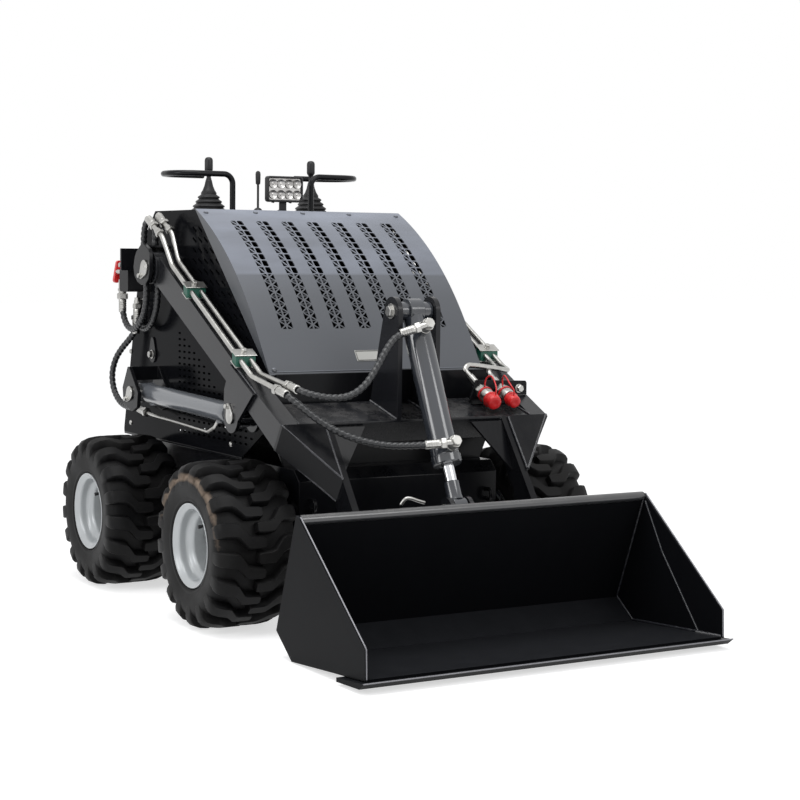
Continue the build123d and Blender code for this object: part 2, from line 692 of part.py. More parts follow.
with BuildPart() as work_lamp:
    with BuildSketch(Plane.XZ.offset(-at(225))):
        with Locations((0, deck_z + 71)):
            RectangleRounded(124, 80, 8)
    extrude(amount=-24)
    with BuildSketch(Plane.XZ.offset(-at(249))):
        with Locations((0, deck_z + 71)):
            RectangleRounded(100, 60, 8)
    extrude(amount=-22)
    with BuildSketch(Plane.XY.offset(deck_z)):
        with Locations((0, at(250))):
            Rectangle(30, 30)
    extrude(amount=34)
work_lamp.part.label = "work_lamp"
export_step(work_lamp.part, "parts/work_lamp.step")

# Hydraulic lines: steel tubes along the arms in clamps, and the couplers they feed on the left
line_r = 7.5
line_rise = 18
clamp_half = 30
clamp_mid = (arm_in + arm_out) / 2 + 3
arm_rise = (pivot_z + 34 - arm_top_front[1]) / (pivot_y - 40 - arm_top_front[0])


def bend_radii(places):
    """Radius of each bend of a route: as large as the shorter run beside it allows."""
    found = []
    for before, here, after in zip(places, places[1:], places[2:]):
        into = Vector(*here) - Vector(*before)
        out = Vector(*after) - Vector(*here)
        found.append(0.45 * min(into.length, out.length) / tan(radians(into.get_angle(out)) / 2))
    return found


def above_arm(y, rise):
    """Place at a height above the arm's upper edge."""
    return (y, arm_top_front[1] + (y - arm_top_front[0]) * arm_rise + rise)


for side, sign in sides:
    outer_x = sign * (clamp_mid + 15)
    inner_x = sign * (clamp_mid - 15)
    rear_outer = [(outer_x, 300, pivot_z + 132), (outer_x, 218, pivot_z + 94),
                  (outer_x, *above_arm(145, line_rise))]
    rear_inner = [(inner_x, 285, pivot_z + 140), (inner_x, 212, pivot_z + 104),
                  (inner_x, *above_arm(165, line_rise + 2))]
    if sign < 0:
        front_outer = [(outer_x, -400, 684), (outer_x + 15, -535, 654)]
        front_inner = [(inner_x, -395, 689), (inner_x + 10, -552, 665)]
    else:
        front_outer = [(outer_x, -385, 692), (outer_x - 17, -440, 684), (arm_in - 18, -458, 691),
                       (arm_in - 80, -458, 700), (arm_in - 128, -460, 705), (arm_in - 143, -467, 692),
                       (arm_in - 130, -475.5, 675)]
        front_inner = [(inner_x, -362, 705), (inner_x - 17, -412, 692), (arm_in - 40, -444, 693),
                       (arm_in - 58, -463, 682), (arm_in - 48, -476, 664)]
    with BuildPart() as arm_lines:
        for route in (rear_outer + front_outer, rear_inner + front_inner):
            places = [(x, at(y), z) for x, y, z in route]
            with BuildLine():
                FilletPolyline(*places, radius=[min(radius, 60) for radius in bend_radii(places)])
            with BuildSketch(Plane(origin=places[0], z_dir=[b - a for a, b in zip(places[0], places[1])])):
                Circle(line_r)
            sweep()
        for clamp_y in (15, -318):
            with BuildSketch(side_plane(sign, clamp_mid - clamp_half, clamp_mid + clamp_half)):
                Polygon(*pts(above_arm(clamp_y - 14, seam), above_arm(clamp_y - 14, line_rise + 14),
                             above_arm(clamp_y + 14, line_rise + 14), above_arm(clamp_y + 14, seam)), align=None)
            extrude(amount=2 * clamp_half)
    arm_lines.part.label = f"arm_lines_{side}"
    export_step(arm_lines.part, f"parts/arm_lines_{side}.step")

with BuildPart() as coupler_set:
    with BuildSketch(Plane.XZ.offset(-at(-496))):
        Polygon((arm_in - 138, 594.3), (arm_in - 144, 612), (arm_in - 124, 664), (arm_out - 8, 658),
                (arm_out - 4, 652), (arm_out - 4, 618), (arm_in - seam, 618), (arm_in - seam, 594.3), align=None)
    extrude(amount=6)
    with BuildSketch(Plane.YZ.offset(arm_in - 130)):
        Polygon(*pts((-496, 594.3), (-496, 598.3), (-470, 605.3), (-470, 601.3)), align=None)
    extrude(amount=128)
    for coupler_x, cap_r, tube_end, tube_way in (
            (arm_in - 107, 24, (arm_in - 130, -475.5, 675), (13, -8.5, -17)),
            (arm_in - 39, 20, (arm_in - 48, -476, 664), (10, -13, -18))):
        with BuildSketch(Plane(origin=Vector(tube_end[0], at(tube_end[1]), tube_end[2]) + Vector(*tube_way) * 0.015,
                               z_dir=tube_way)):
            Circle(10)
        extrude(amount=30)
        spout = Plane(origin=(coupler_x, at(-481), 643), x_dir=(1, 0, 0), z_dir=(-0.08, -0.937, -0.34))
        with BuildSketch(spout):
            Circle(15)
        extrude(amount=80)
        with BuildSketch(spout.offset(76)):
            Circle(cap_r)
        extrude(amount=42, taper=6)
coupler_set.part.label = "coupler_set"
export_step(coupler_set.part, "parts/coupler_set.step")

outer_elbow = (lift_x, 582, 868)
with BuildPart() as control_valve:
    with BuildSketch(side_plane(-1, body_half, arm_out)):
        with Locations((at(505), 932)):
            RectangleRounded(70, 74, 10)
    extrude(amount=arm_out - body_half)
    with BuildSketch(Plane.XZ.offset(-at(540))):
        with Locations((-outer_elbow[0], 956)):
            Circle(6)
        with Locations((-outer_elbow[0], 918)):
            Circle(11)
    extrude(amount=-outer_elbow[1] + 540)
    with BuildSketch(Plane.XZ.offset(-at(outer_elbow[1]))):
        with Locations((-outer_elbow[0], 956)):
            Circle(9)
    extrude(amount=-44)
    with BuildSketch(Plane.XZ.offset(-at(outer_elbow[1] + 36))):
        with Locations((-outer_elbow[0], 956)):
            SlotOverall(72, 18, rotation=80)
    extrude(amount=-14)
    with BuildSketch(Plane.XY.offset(outer_elbow[2])):
        with Locations((-outer_elbow[0], at(outer_elbow[1]))):
            Circle(12.5)
    extrude(amount=64)
control_valve.part.label = "control_valve"
export_step(control_valve.part, "parts/control_valve.step")

# Elbows on the side panels, each a stub out of the panel and a nut that the hose's end meets
elbow_r = 11
inner_elbow = (body_half + 27, 520, 838)
lift_elbow = (body_half + 19, 552, 800)
with BuildPart() as hose_elbows:
    for sign, elbows in ((-1, (inner_elbow, lift_elbow)), (1, (inner_elbow, lift_elbow, outer_elbow))):
        for elbow_x, elbow_y, elbow_z in elbows:
            with BuildSketch(Plane.XY.offset(elbow_z)):
                with Locations((sign * elbow_x, at(elbow_y))):
                    Circle(elbow_r - 2)
            extrude(amount=38)
            with BuildSketch(side_plane(sign, body_half, elbow_x)):
                with Locations((at(elbow_y), elbow_z + 21)):
                    Circle(elbow_r)
            extrude(amount=elbow_x - body_half)
hose_elbows.part.label = "hose_elbows"
export_step(hose_elbows.part, "parts/hose_elbows.step")

# Hoses, each a round tube of runs and tangent arcs
hose_r = 9.5


hoses = {
    "tilt_hose_upper": [(-375, -552.3, 664.9), (-372.6, -590, 659.2), (-348, -620, 647), (-300, -636, 637),
                        (-246, -646, 640), (-200, -650, 668), (-160, -642, 716), (-124, -630, 766),
                        (-84, -620, 804), tilt_upper_end],
    "tilt_hose_lower": [(-400, -535.3, 653.9), (-395.9, -572, 645.8), (-372, -606, 618), (-332, -638, 578),
                        (-282, -670, 545), (-224, -700, 523), (-164, -726, 513), (-106, -750, 513.4),
                        tilt_lower_end],
    "arm_hose_outer_right": [(-412, 300.3, 1104.1), (-412, 334.5, 1120), (-411, 366, 1098), (-409, 379, 1044),
                             (-405, 376, 975), (-402, 371, 908), (-400, 384, 846), (-399, 428, 798),
                             (-398, 490, 774), (-397, 548, 786), (-397, 582, 826), (-397, 582, 867.7)],
    "arm_hose_inner_right": [(-385, 285.3, 1112.1), (-384, 318, 1128.4), (-381, 349, 1108), (-379, 359, 1052),
                             (-377, 353, 982), (-375, 346, 914), (-374, 356, 852), (-374, 390, 803),
                             (-373, 440, 779), (-372, 490, 783), (-372, 520, 806), (-372, 520, 837.7)],
    "lift_hose_right": [(-364, 552, 799.7), (-364, 552, 772), (-374, 580, 742), (-386, 616, 712),
                        (-395, 650, 676), (-400, 668, 628), (-400, 656, 582), (-400, 618, 550),
                        (-399, 568, 532), (-398, 512, 530), (-397, 456, 531.6), (-397, 400.3, 526.03)],
}
for name in ("arm_hose_outer", "arm_hose_inner", "lift_hose"):
    hoses[name + "_left"] = [(-x, y, z) for x, y, z in hoses[name + "_right"]]
for name, route in hoses.items():
    places = [(x, at(y), z) for x, y, z in route]
    radii = bend_radii(places)
    print(name, "radii", [round(r) for r in radii])
    with BuildPart() as hose:
        with BuildLine() as hose_line:
            FilletPolyline(*places, radius=radii)
        with BuildSketch(Plane(origin=places[0], z_dir=[b - a for a, b in zip(places[0], places[1])])):
            Circle(hose_r)
        sweep()
    section = pi * hose_r ** 2
    length = sum(edge.length for edge in hose_line.edges())
    print(name, "length", round(length), "volume ratio", round(hose.part.volume / (section * length), 4))
    hose.part.label = name
    export_step(hose.part, f"parts/{name}.step")
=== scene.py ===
"""Looks of a compact stand-on skid steer loader, built round its CAD frame."""

from math import cos, hypot, pi, radians, sin

import bmesh
import bpy
from bpy.props import FloatProperty, FloatVectorProperty, IntProperty, PointerProperty
from mathutils import Matrix, Vector
from mathutils.geometry import delaunay_2d_cdt


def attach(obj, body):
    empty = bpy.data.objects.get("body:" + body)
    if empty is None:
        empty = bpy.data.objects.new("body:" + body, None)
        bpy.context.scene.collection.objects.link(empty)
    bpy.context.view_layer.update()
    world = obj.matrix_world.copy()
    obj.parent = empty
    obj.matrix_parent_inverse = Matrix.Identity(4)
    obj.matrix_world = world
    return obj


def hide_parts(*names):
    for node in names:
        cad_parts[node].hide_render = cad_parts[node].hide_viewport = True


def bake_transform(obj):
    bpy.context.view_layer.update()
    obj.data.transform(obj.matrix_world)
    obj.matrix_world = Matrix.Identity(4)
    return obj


bl_info = {
    "name": "Skid Steer Loader Looks",
    "version": (1, 0, 0),
    "blender": (4, 5, 0),
    "location": "View3D > Sidebar > Loader",
    "description": "Dresses the frame of a compact wheeled loader",
    "category": "Object",
}

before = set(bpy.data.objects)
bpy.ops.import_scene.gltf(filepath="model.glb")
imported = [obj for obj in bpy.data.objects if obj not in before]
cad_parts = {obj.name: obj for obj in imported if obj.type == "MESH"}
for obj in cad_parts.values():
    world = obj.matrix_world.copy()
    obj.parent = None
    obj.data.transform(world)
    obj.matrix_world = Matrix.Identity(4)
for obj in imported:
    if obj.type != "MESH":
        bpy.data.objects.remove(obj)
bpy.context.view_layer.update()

# Metres: the middle of the wheelbase along Y, and the wheels about it
MIDDLE = 0.1395
AXLE_HEIGHT = 0.2285
HALF_TRACK = 0.48
HALF_BASE = 0.3825
WHEELS = (("front_right", -HALF_TRACK, MIDDLE - HALF_BASE), ("front_left", HALF_TRACK, MIDDLE - HALF_BASE),
          ("rear_right", -HALF_TRACK, MIDDLE + HALF_BASE), ("rear_left", HALF_TRACK, MIDDLE + HALF_BASE))
SIDES = (("right", -1), ("left", 1))

# Millimetres: the lift cylinders' plane, the side panels' outer face and the deck's top,
# then the (y, z) of the pins from the middle of the wheelbase
ARM_X = 397
PANEL_X = 345
DECK = 1147
ARM_PIVOT = (265, 972)
LIFT_REAR = (382, 586)
LIFT_FRONT = (-305, 567)
TILT_TOP = (-555, 864)


def mm(x, y, z):
    """A place in metres from millimetres measured from the middle of the wheelbase."""
    return Vector((x / 1000, MIDDLE + y / 1000, z / 1000))


def above_arm(y, rise):
    """Height in millimetres of a place above the arm's upper edge."""
    return 637 + (y + 455) * 0.5426 + rise


# Shader values and finishes

class Signal:
    """A shader output that adds, subtracts and multiplies as a number does."""

    def __init__(self, graph, socket):
        self.graph = graph
        self.socket = socket

    def maths(self, operation, first, second):
        """Join two values with one Math node."""
        return self.graph.node("ShaderNodeMath", {"operation": operation}, {0: first, 1: second})

    def __add__(self, other):
        return self.maths("ADD", self, other)

    __radd__ = __add__

    def __sub__(self, other):
        return self.maths("SUBTRACT", self, other)

    def __rsub__(self, other):
        return self.maths("SUBTRACT", other, self)

    def __mul__(self, other):
        return self.maths("MULTIPLY", self, other)

    __rmul__ = __mul__


class Graph:
    """A node tree that is filled node by node."""

    def __init__(self, tree):
        self.tree = tree

    def node(self, kind, settings=None, inputs=None, output=0):
        """Add a node, set it up, join its inputs and return one output."""
        made = self.tree.nodes.new(kind)
        for key, value in (settings or {}).items():
            setattr(made, key, value)
        for key, value in (inputs or {}).items():
            self.join(made.inputs[key], value)
        return Signal(self, made.outputs[output]) if len(made.outputs) else None

    def join(self, socket, value):
        """Give a socket a value or a signal."""
        if isinstance(value, Signal):
            self.tree.links.new(value.socket, socket)
        else:
            socket.default_value = value

    def backdrop_rays(self):
        """1 for what the camera sees directly or by way of gloss and glass."""
        seen = self.node("ShaderNodeLightPath", output="Is Camera Ray")
        shine = self.node("ShaderNodeLightPath", output="Is Glossy Ray")
        through = self.node("ShaderNodeLightPath", output="Is Transmission Ray")
        return seen + shine + through


class Finish(Graph):
    """A material whose surface is made node by node."""

    def __init__(self, name, colour, rough, metal=0.0, specular=0.5, coat=0.0):
        self.material = bpy.data.materials.new(name)
        self.material.use_nodes = True
        super().__init__(self.material.node_tree)
        self.shader = self.tree.nodes["Principled BSDF"]
        self.colour = tuple(colour)
        self.rough = rough
        self.feed("Base Color", (*colour, 1.0))
        self.feed("Roughness", rough)
        self.feed("Metallic", metal)
        self.feed("Specular IOR Level", specular)
        if coat:
            self.feed("Coat Weight", coat)
            self.feed("Coat Roughness", 0.08)

    def feed(self, name, value):
        """Give one of the shader's sockets a value or a signal."""
        self.join(self.shader.inputs[name], value)

    def grain(self, scale, detail=3.0, rough=0.55, stretch=None):
        """Fractal noise over the object."""
        place = self.node("ShaderNodeTexCoord", output="Object")
        if stretch:
            place = self.node("ShaderNodeMapping", {}, {"Vector": place, "Scale": stretch})
        return self.node("ShaderNodeTexNoise", {}, {"Vector": place, "Scale": scale, "Detail": detail,
                                                   "Roughness": rough})

    def step(self, value, low, high):
        """Remap a value so that low gives 0 and high gives 1."""
        return self.node("ShaderNodeMapRange", {"clamp": True}, {"Value": value, "From Min": low, "From Max": high})

    def mix(self, share, first, second):
        """Blend two colours by a share from 0 to 1."""
        def shade(value):
            return value if isinstance(value, Signal) else (*value, 1.0)
        return self.node("ShaderNodeMix", {"data_type": "RGBA"},
                         {0: share, 6: shade(first), 7: shade(second)}, output=2)

    def upward(self):
        """How much the surface faces the sky, from -1 to 1."""
        facing = self.node("ShaderNodeNewGeometry", output="Normal")
        return self.node("ShaderNodeSeparateXYZ", {}, {0: facing}, output="Z")

    def bump(self, height, depth, strength):
        """Feed a height into the shader's normal."""
        self.feed("Normal", self.node("ShaderNodeBump", {}, {"Strength": strength, "Distance": depth,
                                                             "Height": height}))

    def painted(self, dust, peel=0.00006, dust_and_sheen_colour=(0.16, 0.155, 0.15), patch=1.0):
        """Sprayed paint: slight orange peel, uneven gloss and a pale veil that is partly dust and partly painted sheen,
        lighter on faces that point up.
        """
        cloud = self.grain(3.5, 5.0, 0.6)
        fine = self.grain(420.0, 2.0)
        smear = self.grain(14.0, 6.0, 0.7, (1.0, 1.0, 0.35))
        cover = patch * self.step(smear, 0.42, 0.8) + (1 - patch)
        # Painted sheen and dust: the veil grows the more a face points up, lightening tops as light from above would.
        dust_and_top_sheen = cover * (0.2 + 0.8 * self.step(self.upward(), 0.0, 0.9)) * dust
        self.feed("Base Color", self.mix(dust_and_top_sheen, self.colour, dust_and_sheen_colour))
        self.feed("Roughness", self.rough + 0.1 * (cloud - 0.5) + 0.25 * dust_and_top_sheen + 0.05 * (fine - 0.5))
        self.bump(self.grain(160.0, 3.0), peel, 0.6)
        return self

    def plated(self, bright, dull):
        """Zinc or chrome plate: mottled tone and uneven gloss."""
        self.feed("Base Color", self.mix(self.step(self.grain(25.0, 3.0), 0.3, 0.75), bright, dull))
        self.feed("Roughness", self.rough + 0.25 * (self.grain(60.0, 4.0) - 0.4))
        return self

    def moulded(self, scale, depth):
        """Rubber or plastic with a fine moulded grain."""
        patch = self.grain(9.0, 4.0)
        self.feed("Roughness", self.rough + 0.2 * (patch - 0.5))
        self.bump(self.grain(scale, 2.0), depth, 0.5)
        return self


FINISHES = {}


class LOADER_OT_finishes(bpy.types.Operator):
    """Mix the paints, metals and rubbers"""

    bl_idname = "loader.finishes"
    bl_label = "Finishes"

    def execute(self, context):
        look = context.scene.loader_look
        body = tuple(look.body_colour)
        plating = tuple(look.plating_colour)
        FINISHES["body"] = Finish("Black gloss paint", body, 0.22, specular=0.16).painted(0.1)
        # The faint olive-brown veil on the side panels is a painted reflection of brown surroundings, with a trace of
        # dust.
        FINISHES["panel"] = Finish("Side panel paint", body, 0.16, specular=0.02).painted(0.015, 0.00003,
                                                                                   (0.12, 0.115, 0.095))
        # The arms carry the body paint lightened 1.7 times: painted light for how brightly they are lit.
        FINISHES["arm"] = Finish("Black arm paint lightened as painted light", [1.7 * c for c in body], 0.24, specular=0.32).painted(0.14)
        # The beam's lighter copy of the body paint and its strong upward veil paint a highlight on its top, with some
        # dust.
        FINISHES["beam"] = Finish("Black beam paint with painted top highlight", [1.4 * c for c in body], 0.24, specular=0.24).painted(0.38)
        # The bluish veil on the bucket's upward faces is mostly a painted reflection of the sky, with some dust; patch
        # 0.3 spreads it evenly.
        FINISHES["bucket"] = Finish("Satin bucket paint", [0.6 * c for c in body], 0.36,
                                    specular=0.035).painted(0.09, 0.00006, (0.15, 0.158, 0.175), 0.3)
        # The bar along the bucket's top edge is lightened, and its strong upward veil paints a highlight band on it.
        FINISHES["bar"] = Finish("Bucket top bar with painted highlight", (0.03, 0.031, 0.034), 0.2, specular=0.9).painted(0.5, patch=0.6)
        FINISHES["cylinder"] = Finish("Slate cylinder enamel", (0.03, 0.034, 0.042), 0.13,
                                      specular=1.0).painted(0.05)
        # A lighter copy of the slate enamel: the lift barrels' brightness is a painted reflection of the bright
        # surroundings.
        FINISHES["ram"] = Finish("Lift cylinder enamel lightened as painted reflection", (0.13, 0.139, 0.154), 0.17, specular=1.0).painted(0.1)
        FINISHES["iron"] = Finish("Dark cast iron", (0.012, 0.012, 0.013), 0.5, specular=0.2).painted(0.15, 0.0003)
        FINISHES["rim"] = Finish("Silver wheel paint", (0.46, 0.48, 0.49), 0.36, 0.3, coat=0.2).painted(0.12, 0.00003)
        FINISHES["zinc"] = Finish("Bright zinc plate", plating, 0.28, 1.0).plated(plating, [0.74 * c for c in plating])
        FINISHES["chrome"] = Finish("Hard chrome", (0.62, 0.63, 0.65), 0.1, 1.0).plated((0.66, 0.67, 0.69),
                                                                                       (0.58, 0.59, 0.61))
        FINISHES["edge"] = Finish("Worn steel edge", (0.2, 0.2, 0.215), 0.35, 0.6).painted(0.2)
        FINISHES["wrap"] = Finish("Spiral wrap", (0.018, 0.019, 0.021), 0.3, specular=0.5).moulded(500.0, 0.0001)
        FINISHES["plastic"] = Finish("Black plastic", (0.009, 0.009, 0.01), 0.4, specular=0.35).moulded(700.0, 0.0002)
        FINISHES["boot"] = Finish("Bellows rubber", (0.01, 0.01, 0.011), 0.48, specular=0.35).moulded(450.0, 0.0003)
        FINISHES["green"] = Finish("Green clamp plastic", tuple(look.clamp_colour), 0.42).painted(0.05)
        FINISHES["red"] = Finish("Red plastic", tuple(look.cap_colour), 0.34).painted(0.03)
        FINISHES["plate"] = Finish("Blank data plate", (0.42, 0.42, 0.4), 0.35, 0.6).painted(0.1)
        FINISHES["lens"] = Finish("Lamp reflectors", (0.5, 0.5, 0.5), 0.25, 0.8, coat=0.6).plated((0.55, 0.54, 0.53),
                                                                                                (0.3, 0.29, 0.28))
        # The beads take the body paint four times lighter: painted highlights along the welds.
        FINISHES["weld"] = Finish("Weld bead paint with painted highlight", [4 * c for c in body], 0.24,
                                  specular=0.6).painted(0.1, 0.0004)
        self.hood_paint(tuple(look.hood_colour))
        self.tyre_rubber()
        return {"FINISHED"}

    def hood_paint(self, colour):
        """Charcoal paint whose flatter upper part carries a painted reflection of the sky: a pale, bluish, cloudy
        sheen.
        """
        paint = Finish("Charcoal hood paint with painted reflection", colour, 0.3, specular=0.36)
        cloud = paint.grain(2.6, 6.0, 0.62, (0.55, 1.0, 1.9))
        reflection_streak = paint.grain(7.0, 5.0, 0.6, (0.4, 1.0, 2.4))
        slope = paint.upward()
        # Painted reflection: the film lightens faces that point up towards a bluish sky tone; it is no coating.
        high = 0.45 * paint.step(slope, 0.722, 0.73) + 0.45 * paint.step(slope, 0.66, 0.9)
        film = high * (0.72 + 1.3 * (cloud - 0.5) + 0.9 * (reflection_streak - 0.5))
        paint.feed("Base Color", paint.mix(film, colour, (0.23, 0.25, 0.3)))
        paint.feed("Roughness", 0.3 + 0.12 * film + 0.1 * (cloud - 0.5))
        paint.bump(paint.grain(160.0, 3.0), 0.00005, 0.5)
        FINISHES["hood"] = paint

    def tyre_rubber(self):
        """Black rubber with a brown film and dry soil where the mesh is marked."""
        rubber = Finish("Tyre rubber", (0.011, 0.011, 0.012), 0.5, specular=0.15)
        dust = rubber.node("ShaderNodeAttribute", {"attribute_name": "dust"}, output="Fac")
        patch = rubber.grain(22.0, 6.0, 0.7)
        soil = rubber.step(dust + 0.9 * (patch - 0.5), 0.35, 0.8)
        film = rubber.step(rubber.grain(7.0, 5.0, 0.65), 0.35, 0.75)
        worn = rubber.mix(film * 0.6, (0.0035, 0.0035, 0.004), (0.01, 0.0095, 0.009))
        rubber.feed("Base Color", rubber.mix(soil, worn, (0.2, 0.155, 0.12)))
        rubber.feed("Roughness", 0.46 + 0.2 * film + 0.25 * soil)
        rubber.bump(rubber.grain(380.0, 3.0), 0.00025, 0.5)
        FINISHES["rubber"] = rubber


# Meshes

class Stock:
    """Gathers many shaped bits into one mesh."""

    def __init__(self):
        self.mesh = bmesh.new()

    def rings(self, rings, caps=(False, False)):
        """Skin a list of rings of points, each with the same count."""
        made = [[self.mesh.verts.new(p) for p in ring] for ring in rings]
        count = len(made[0])
        for near, far in zip(made, made[1:]):
            for k in range(count):
                j = (k + 1) % count
                self.mesh.faces.new((near[k], near[j], far[j], far[k]))
        if caps[0]:
            self.mesh.faces.new(tuple(reversed(made[0])))
        if caps[1]:
            self.mesh.faces.new(tuple(made[-1]))

    def turned(self, profile, origin, axis, sides=32):
        """Spin (along, radius) points about an axis through origin; radius 0 closes an end."""
        axis = Vector(axis).normalized()
        side = axis.orthogonal().normalized()
        up = axis.cross(side)
        origin = Vector(origin)
        rings = []
        for along, radius in profile:
            centre = origin + axis * along
            if radius < 1e-6:
                rings.append([self.mesh.verts.new(centre)])
                continue
            rings.append([self.mesh.verts.new(centre + radius * (cos(a) * side + sin(a) * up))
                          for a in (2 * pi * k / sides for k in range(sides))])
        for near, far in zip(rings, rings[1:]):
            for k in range(sides):
                j = (k + 1) % sides
                if len(near) == 1 and len(far) > 1:
                    self.mesh.faces.new((near[0], far[j], far[k]))
                elif len(far) == 1 and len(near) > 1:
                    self.mesh.faces.new((near[k], near[j], far[0]))
                elif len(near) > 1:
                    self.mesh.faces.new((near[k], near[j], far[j], far[k]))

    def hex_head(self, origin, axis, across, height, washer=0.0):
        """A hexagon head with a chamfered top, on a washer if one is asked for."""
        radius = across / 2 / cos(pi / 6)
        base = 0.0
        if washer:
            base = height * 0.22
            self.turned([(0, 0), (0, washer), (base * 0.8, washer), (base, washer * 0.96), (base, 0)], origin, axis, 24)
        self.turned([(base, radius), (base + height * 0.82, radius), (base + height, radius * 0.84),
                     (base + height, 0)], origin, axis, 6)

    def nut(self, origin, axis, across, height, bore):
        """A hexagon nut round a tube, chamfered at both ends."""
        radius = across / 2 / cos(pi / 6)
        self.turned([(0, bore), (0, radius * 0.87), (height * 0.15, radius), (height * 0.85, radius),
                     (height, radius * 0.87), (height, bore)], origin, axis, 6)

    def slab(self, corners, thickness, edge=0.0):
        """A plate from a flat outline of corners, thickened along its normal, with small chamfers."""
        points = [Vector(c) for c in corners]
        normal = Vector((0, 0, 0))
        for a, b in zip(points, points[1:] + points[:1]):
            normal += a.cross(b)
        normal.normalize()

        def shrunk(by):
            moved = []
            for k, p in enumerate(points):
                a = (p - points[k - 1]).normalized()
                b = (points[(k + 1) % len(points)] - p).normalized()
                inward = normal.cross(a) + normal.cross(b)
                turn = max(0.2, inward.length_squared / 2)
                moved.append(p + inward / turn * by)
            return moved
        if edge:
            tight = shrunk(edge)
            rings = [tight, [p + normal * edge for p in points], [p + normal * (thickness - edge) for p in points],
                     [p + normal * thickness for p in tight]]
        else:
            rings = [points, [p + normal * thickness for p in points]]
        self.rings(rings, caps=(True, True))

    def pipe(self, path, radius, sides, wave=None):
        """Sweep a round section along points; radius is a number or one for each point, and wave adds to it."""
        rings, side = [], None
        count = len(path)
        for k, p in enumerate(path):
            ahead = path[min(k + 1, count - 1)] - path[max(k - 1, 0)]
            ahead.normalize()
            side = ahead.orthogonal() if side is None else side - ahead * side.dot(ahead)
            side.normalize()
            up = ahead.cross(side)
            r = radius[k] if isinstance(radius, (list, tuple)) else radius
            rings.append([p + (r + (wave(k, a) if wave else 0.0)) * (cos(a) * side + sin(a) * up)
                          for a in (2 * pi * j / sides for j in range(sides))])
        self.rings(rings, caps=(True, True))

    def bead(self, places, width):
        """A rippled weld bead along straight runs between places."""
        path = evenly(places, 0.0016)
        grow = [width / 2 * (1.0 + 0.18 * sin(2 * pi * k / 3.1) + 0.08 * sin(k * 0.37)) for k in range(len(path))]
        grow[0] = grow[-1] = width / 5
        self.pipe(path, grow, 8)

    def punched(self, outline, holes, bands, place, thickness):
        """A sheet with holes, from flat outlines; bands are cuts across it that let it bend."""
        points, faces, edges = [], [], []
        for ring in [outline, *holes]:
            area = sum(a[0] * b[1] - b[0] * a[1] for a, b in zip(ring, ring[1:] + ring[:1]))
            faces.append(list(range(len(points), len(points) + len(ring))))
            points += [Vector(p) for p in (ring if area > 0 else ring[::-1])]
        for band in bands:
            edges.append((len(points), len(points) + 1))
            points += [Vector(p) for p in band]
        flat, _, triangles, _, _, origins = delaunay_2d_cdt(points, edges, faces, 0, 1e-5)
        kept = [t for t, origin in zip(triangles, origins) if origin == [0]]
        used = {v for triangle in kept for v in triangle}
        top = {v: self.mesh.verts.new(place(*flat[v], 0.0)) for v in used}
        low = {v: self.mesh.verts.new(place(*flat[v], thickness)) for v in used}
        sides = set()
        for a, b, c in kept:
            self.mesh.faces.new((top[a], top[b], top[c]))
            self.mesh.faces.new((low[c], low[b], low[a]))
            sides.update(((a, b), (b, c), (c, a)))
        for a, b in sides:
            if (b, a) not in sides:
                self.mesh.faces.new((top[b], top[a], low[a], low[b]))

    def done(self, name, body, finish, sharp=40.0, slot=None):
        """Close the mesh up as a piece that rides on a body, or on none yet."""
        bmesh.ops.recalc_face_normals(self.mesh, faces=self.mesh.faces)
        data = bpy.data.meshes.new(name)
        self.mesh.to_mesh(data)
        self.mesh.free()
        return settle(name, data, body, finish, sharp)


def settle(name, data, body, finish, sharp):
    """Link a mesh as a piece with a finish, and let it ride on its body."""
    for face in data.polygons:
        face.use_smooth = True
    data.set_sharp_from_angle(angle=radians(sharp))
    data.materials.clear()
    data.materials.append(FINISHES[finish].material)
    piece = bpy.data.objects.new(name, data)
    bpy.context.scene.collection.objects.link(piece)
    if body:
        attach(piece, body)
    return piece


def rounded(piece, width):
    """Round a piece's hard edges."""
    bevel = piece.modifiers.new("edges", "BEVEL")
    bevel.width = width
    bevel.segments = 2
    bevel.limit_method = "ANGLE"
    bevel.angle_limit = radians(35.0)
    bevel.use_clamp_overlap = True
    shade = piece.modifiers.new("shade", "WEIGHTED_NORMAL")
    shade.keep_sharp = True


def cast(node, body, finish, edge, keep=None, tag="form"):
    """Dress a CAD node, or the faces of it that keep picks: the same form with rounded edges."""
    work = bmesh.new()
    work.from_mesh(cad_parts[node].data)
    bmesh.ops.remove_doubles(work, verts=work.verts, dist=1e-5)
    if keep:
        left = [face for face in work.faces if not keep(*millimetres(face.calc_center_median()))]
        bmesh.ops.delete(work, geom=left, context="FACES")
    bmesh.ops.dissolve_limit(work, angle_limit=radians(0.5), verts=work.verts, edges=work.edges)
    data = bpy.data.meshes.new(node + "_" + tag)
    work.to_mesh(data)
    work.free()
    piece = settle(node + "_" + tag, data, body, finish, 30.0)
    rounded(piece, edge)
    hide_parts(node)
    return piece


def millimetres(place):
    """A place's x, y and z in millimetres from the middle of the wheelbase."""
    return place.x * 1000, (place.y - MIDDLE) * 1000, place.z * 1000


def smooth_line(points, count):
    """Points along one smooth spline whose control points are given."""
    line = bpy.data.curves.new("route", "CURVE")
    line.dimensions = "3D"
    line.resolution_u = max(2, count // max(1, len(points) - 2))
    spline = line.splines.new("NURBS")
    spline.points.add(len(points) - 1)
    for spot, p in zip(spline.points, points):
        spot.co = (*p, 1.0)
    spline.order_u = 3
    spline.use_endpoint_u = True
    holder = bpy.data.objects.new("route", line)
    bpy.context.scene.collection.objects.link(holder)
    bpy.context.view_layer.update()
    mesh = bpy.data.meshes.new_from_object(holder)
    places = [v.co.copy() for v in mesh.vertices]
    bpy.data.objects.remove(holder)
    bpy.data.curves.remove(line)
    bpy.data.meshes.remove(mesh)
    kept = [places[0]]
    for p in places[1:]:
        if (p - kept[-1]).length > 1e-5:
            kept.append(p)
    return kept


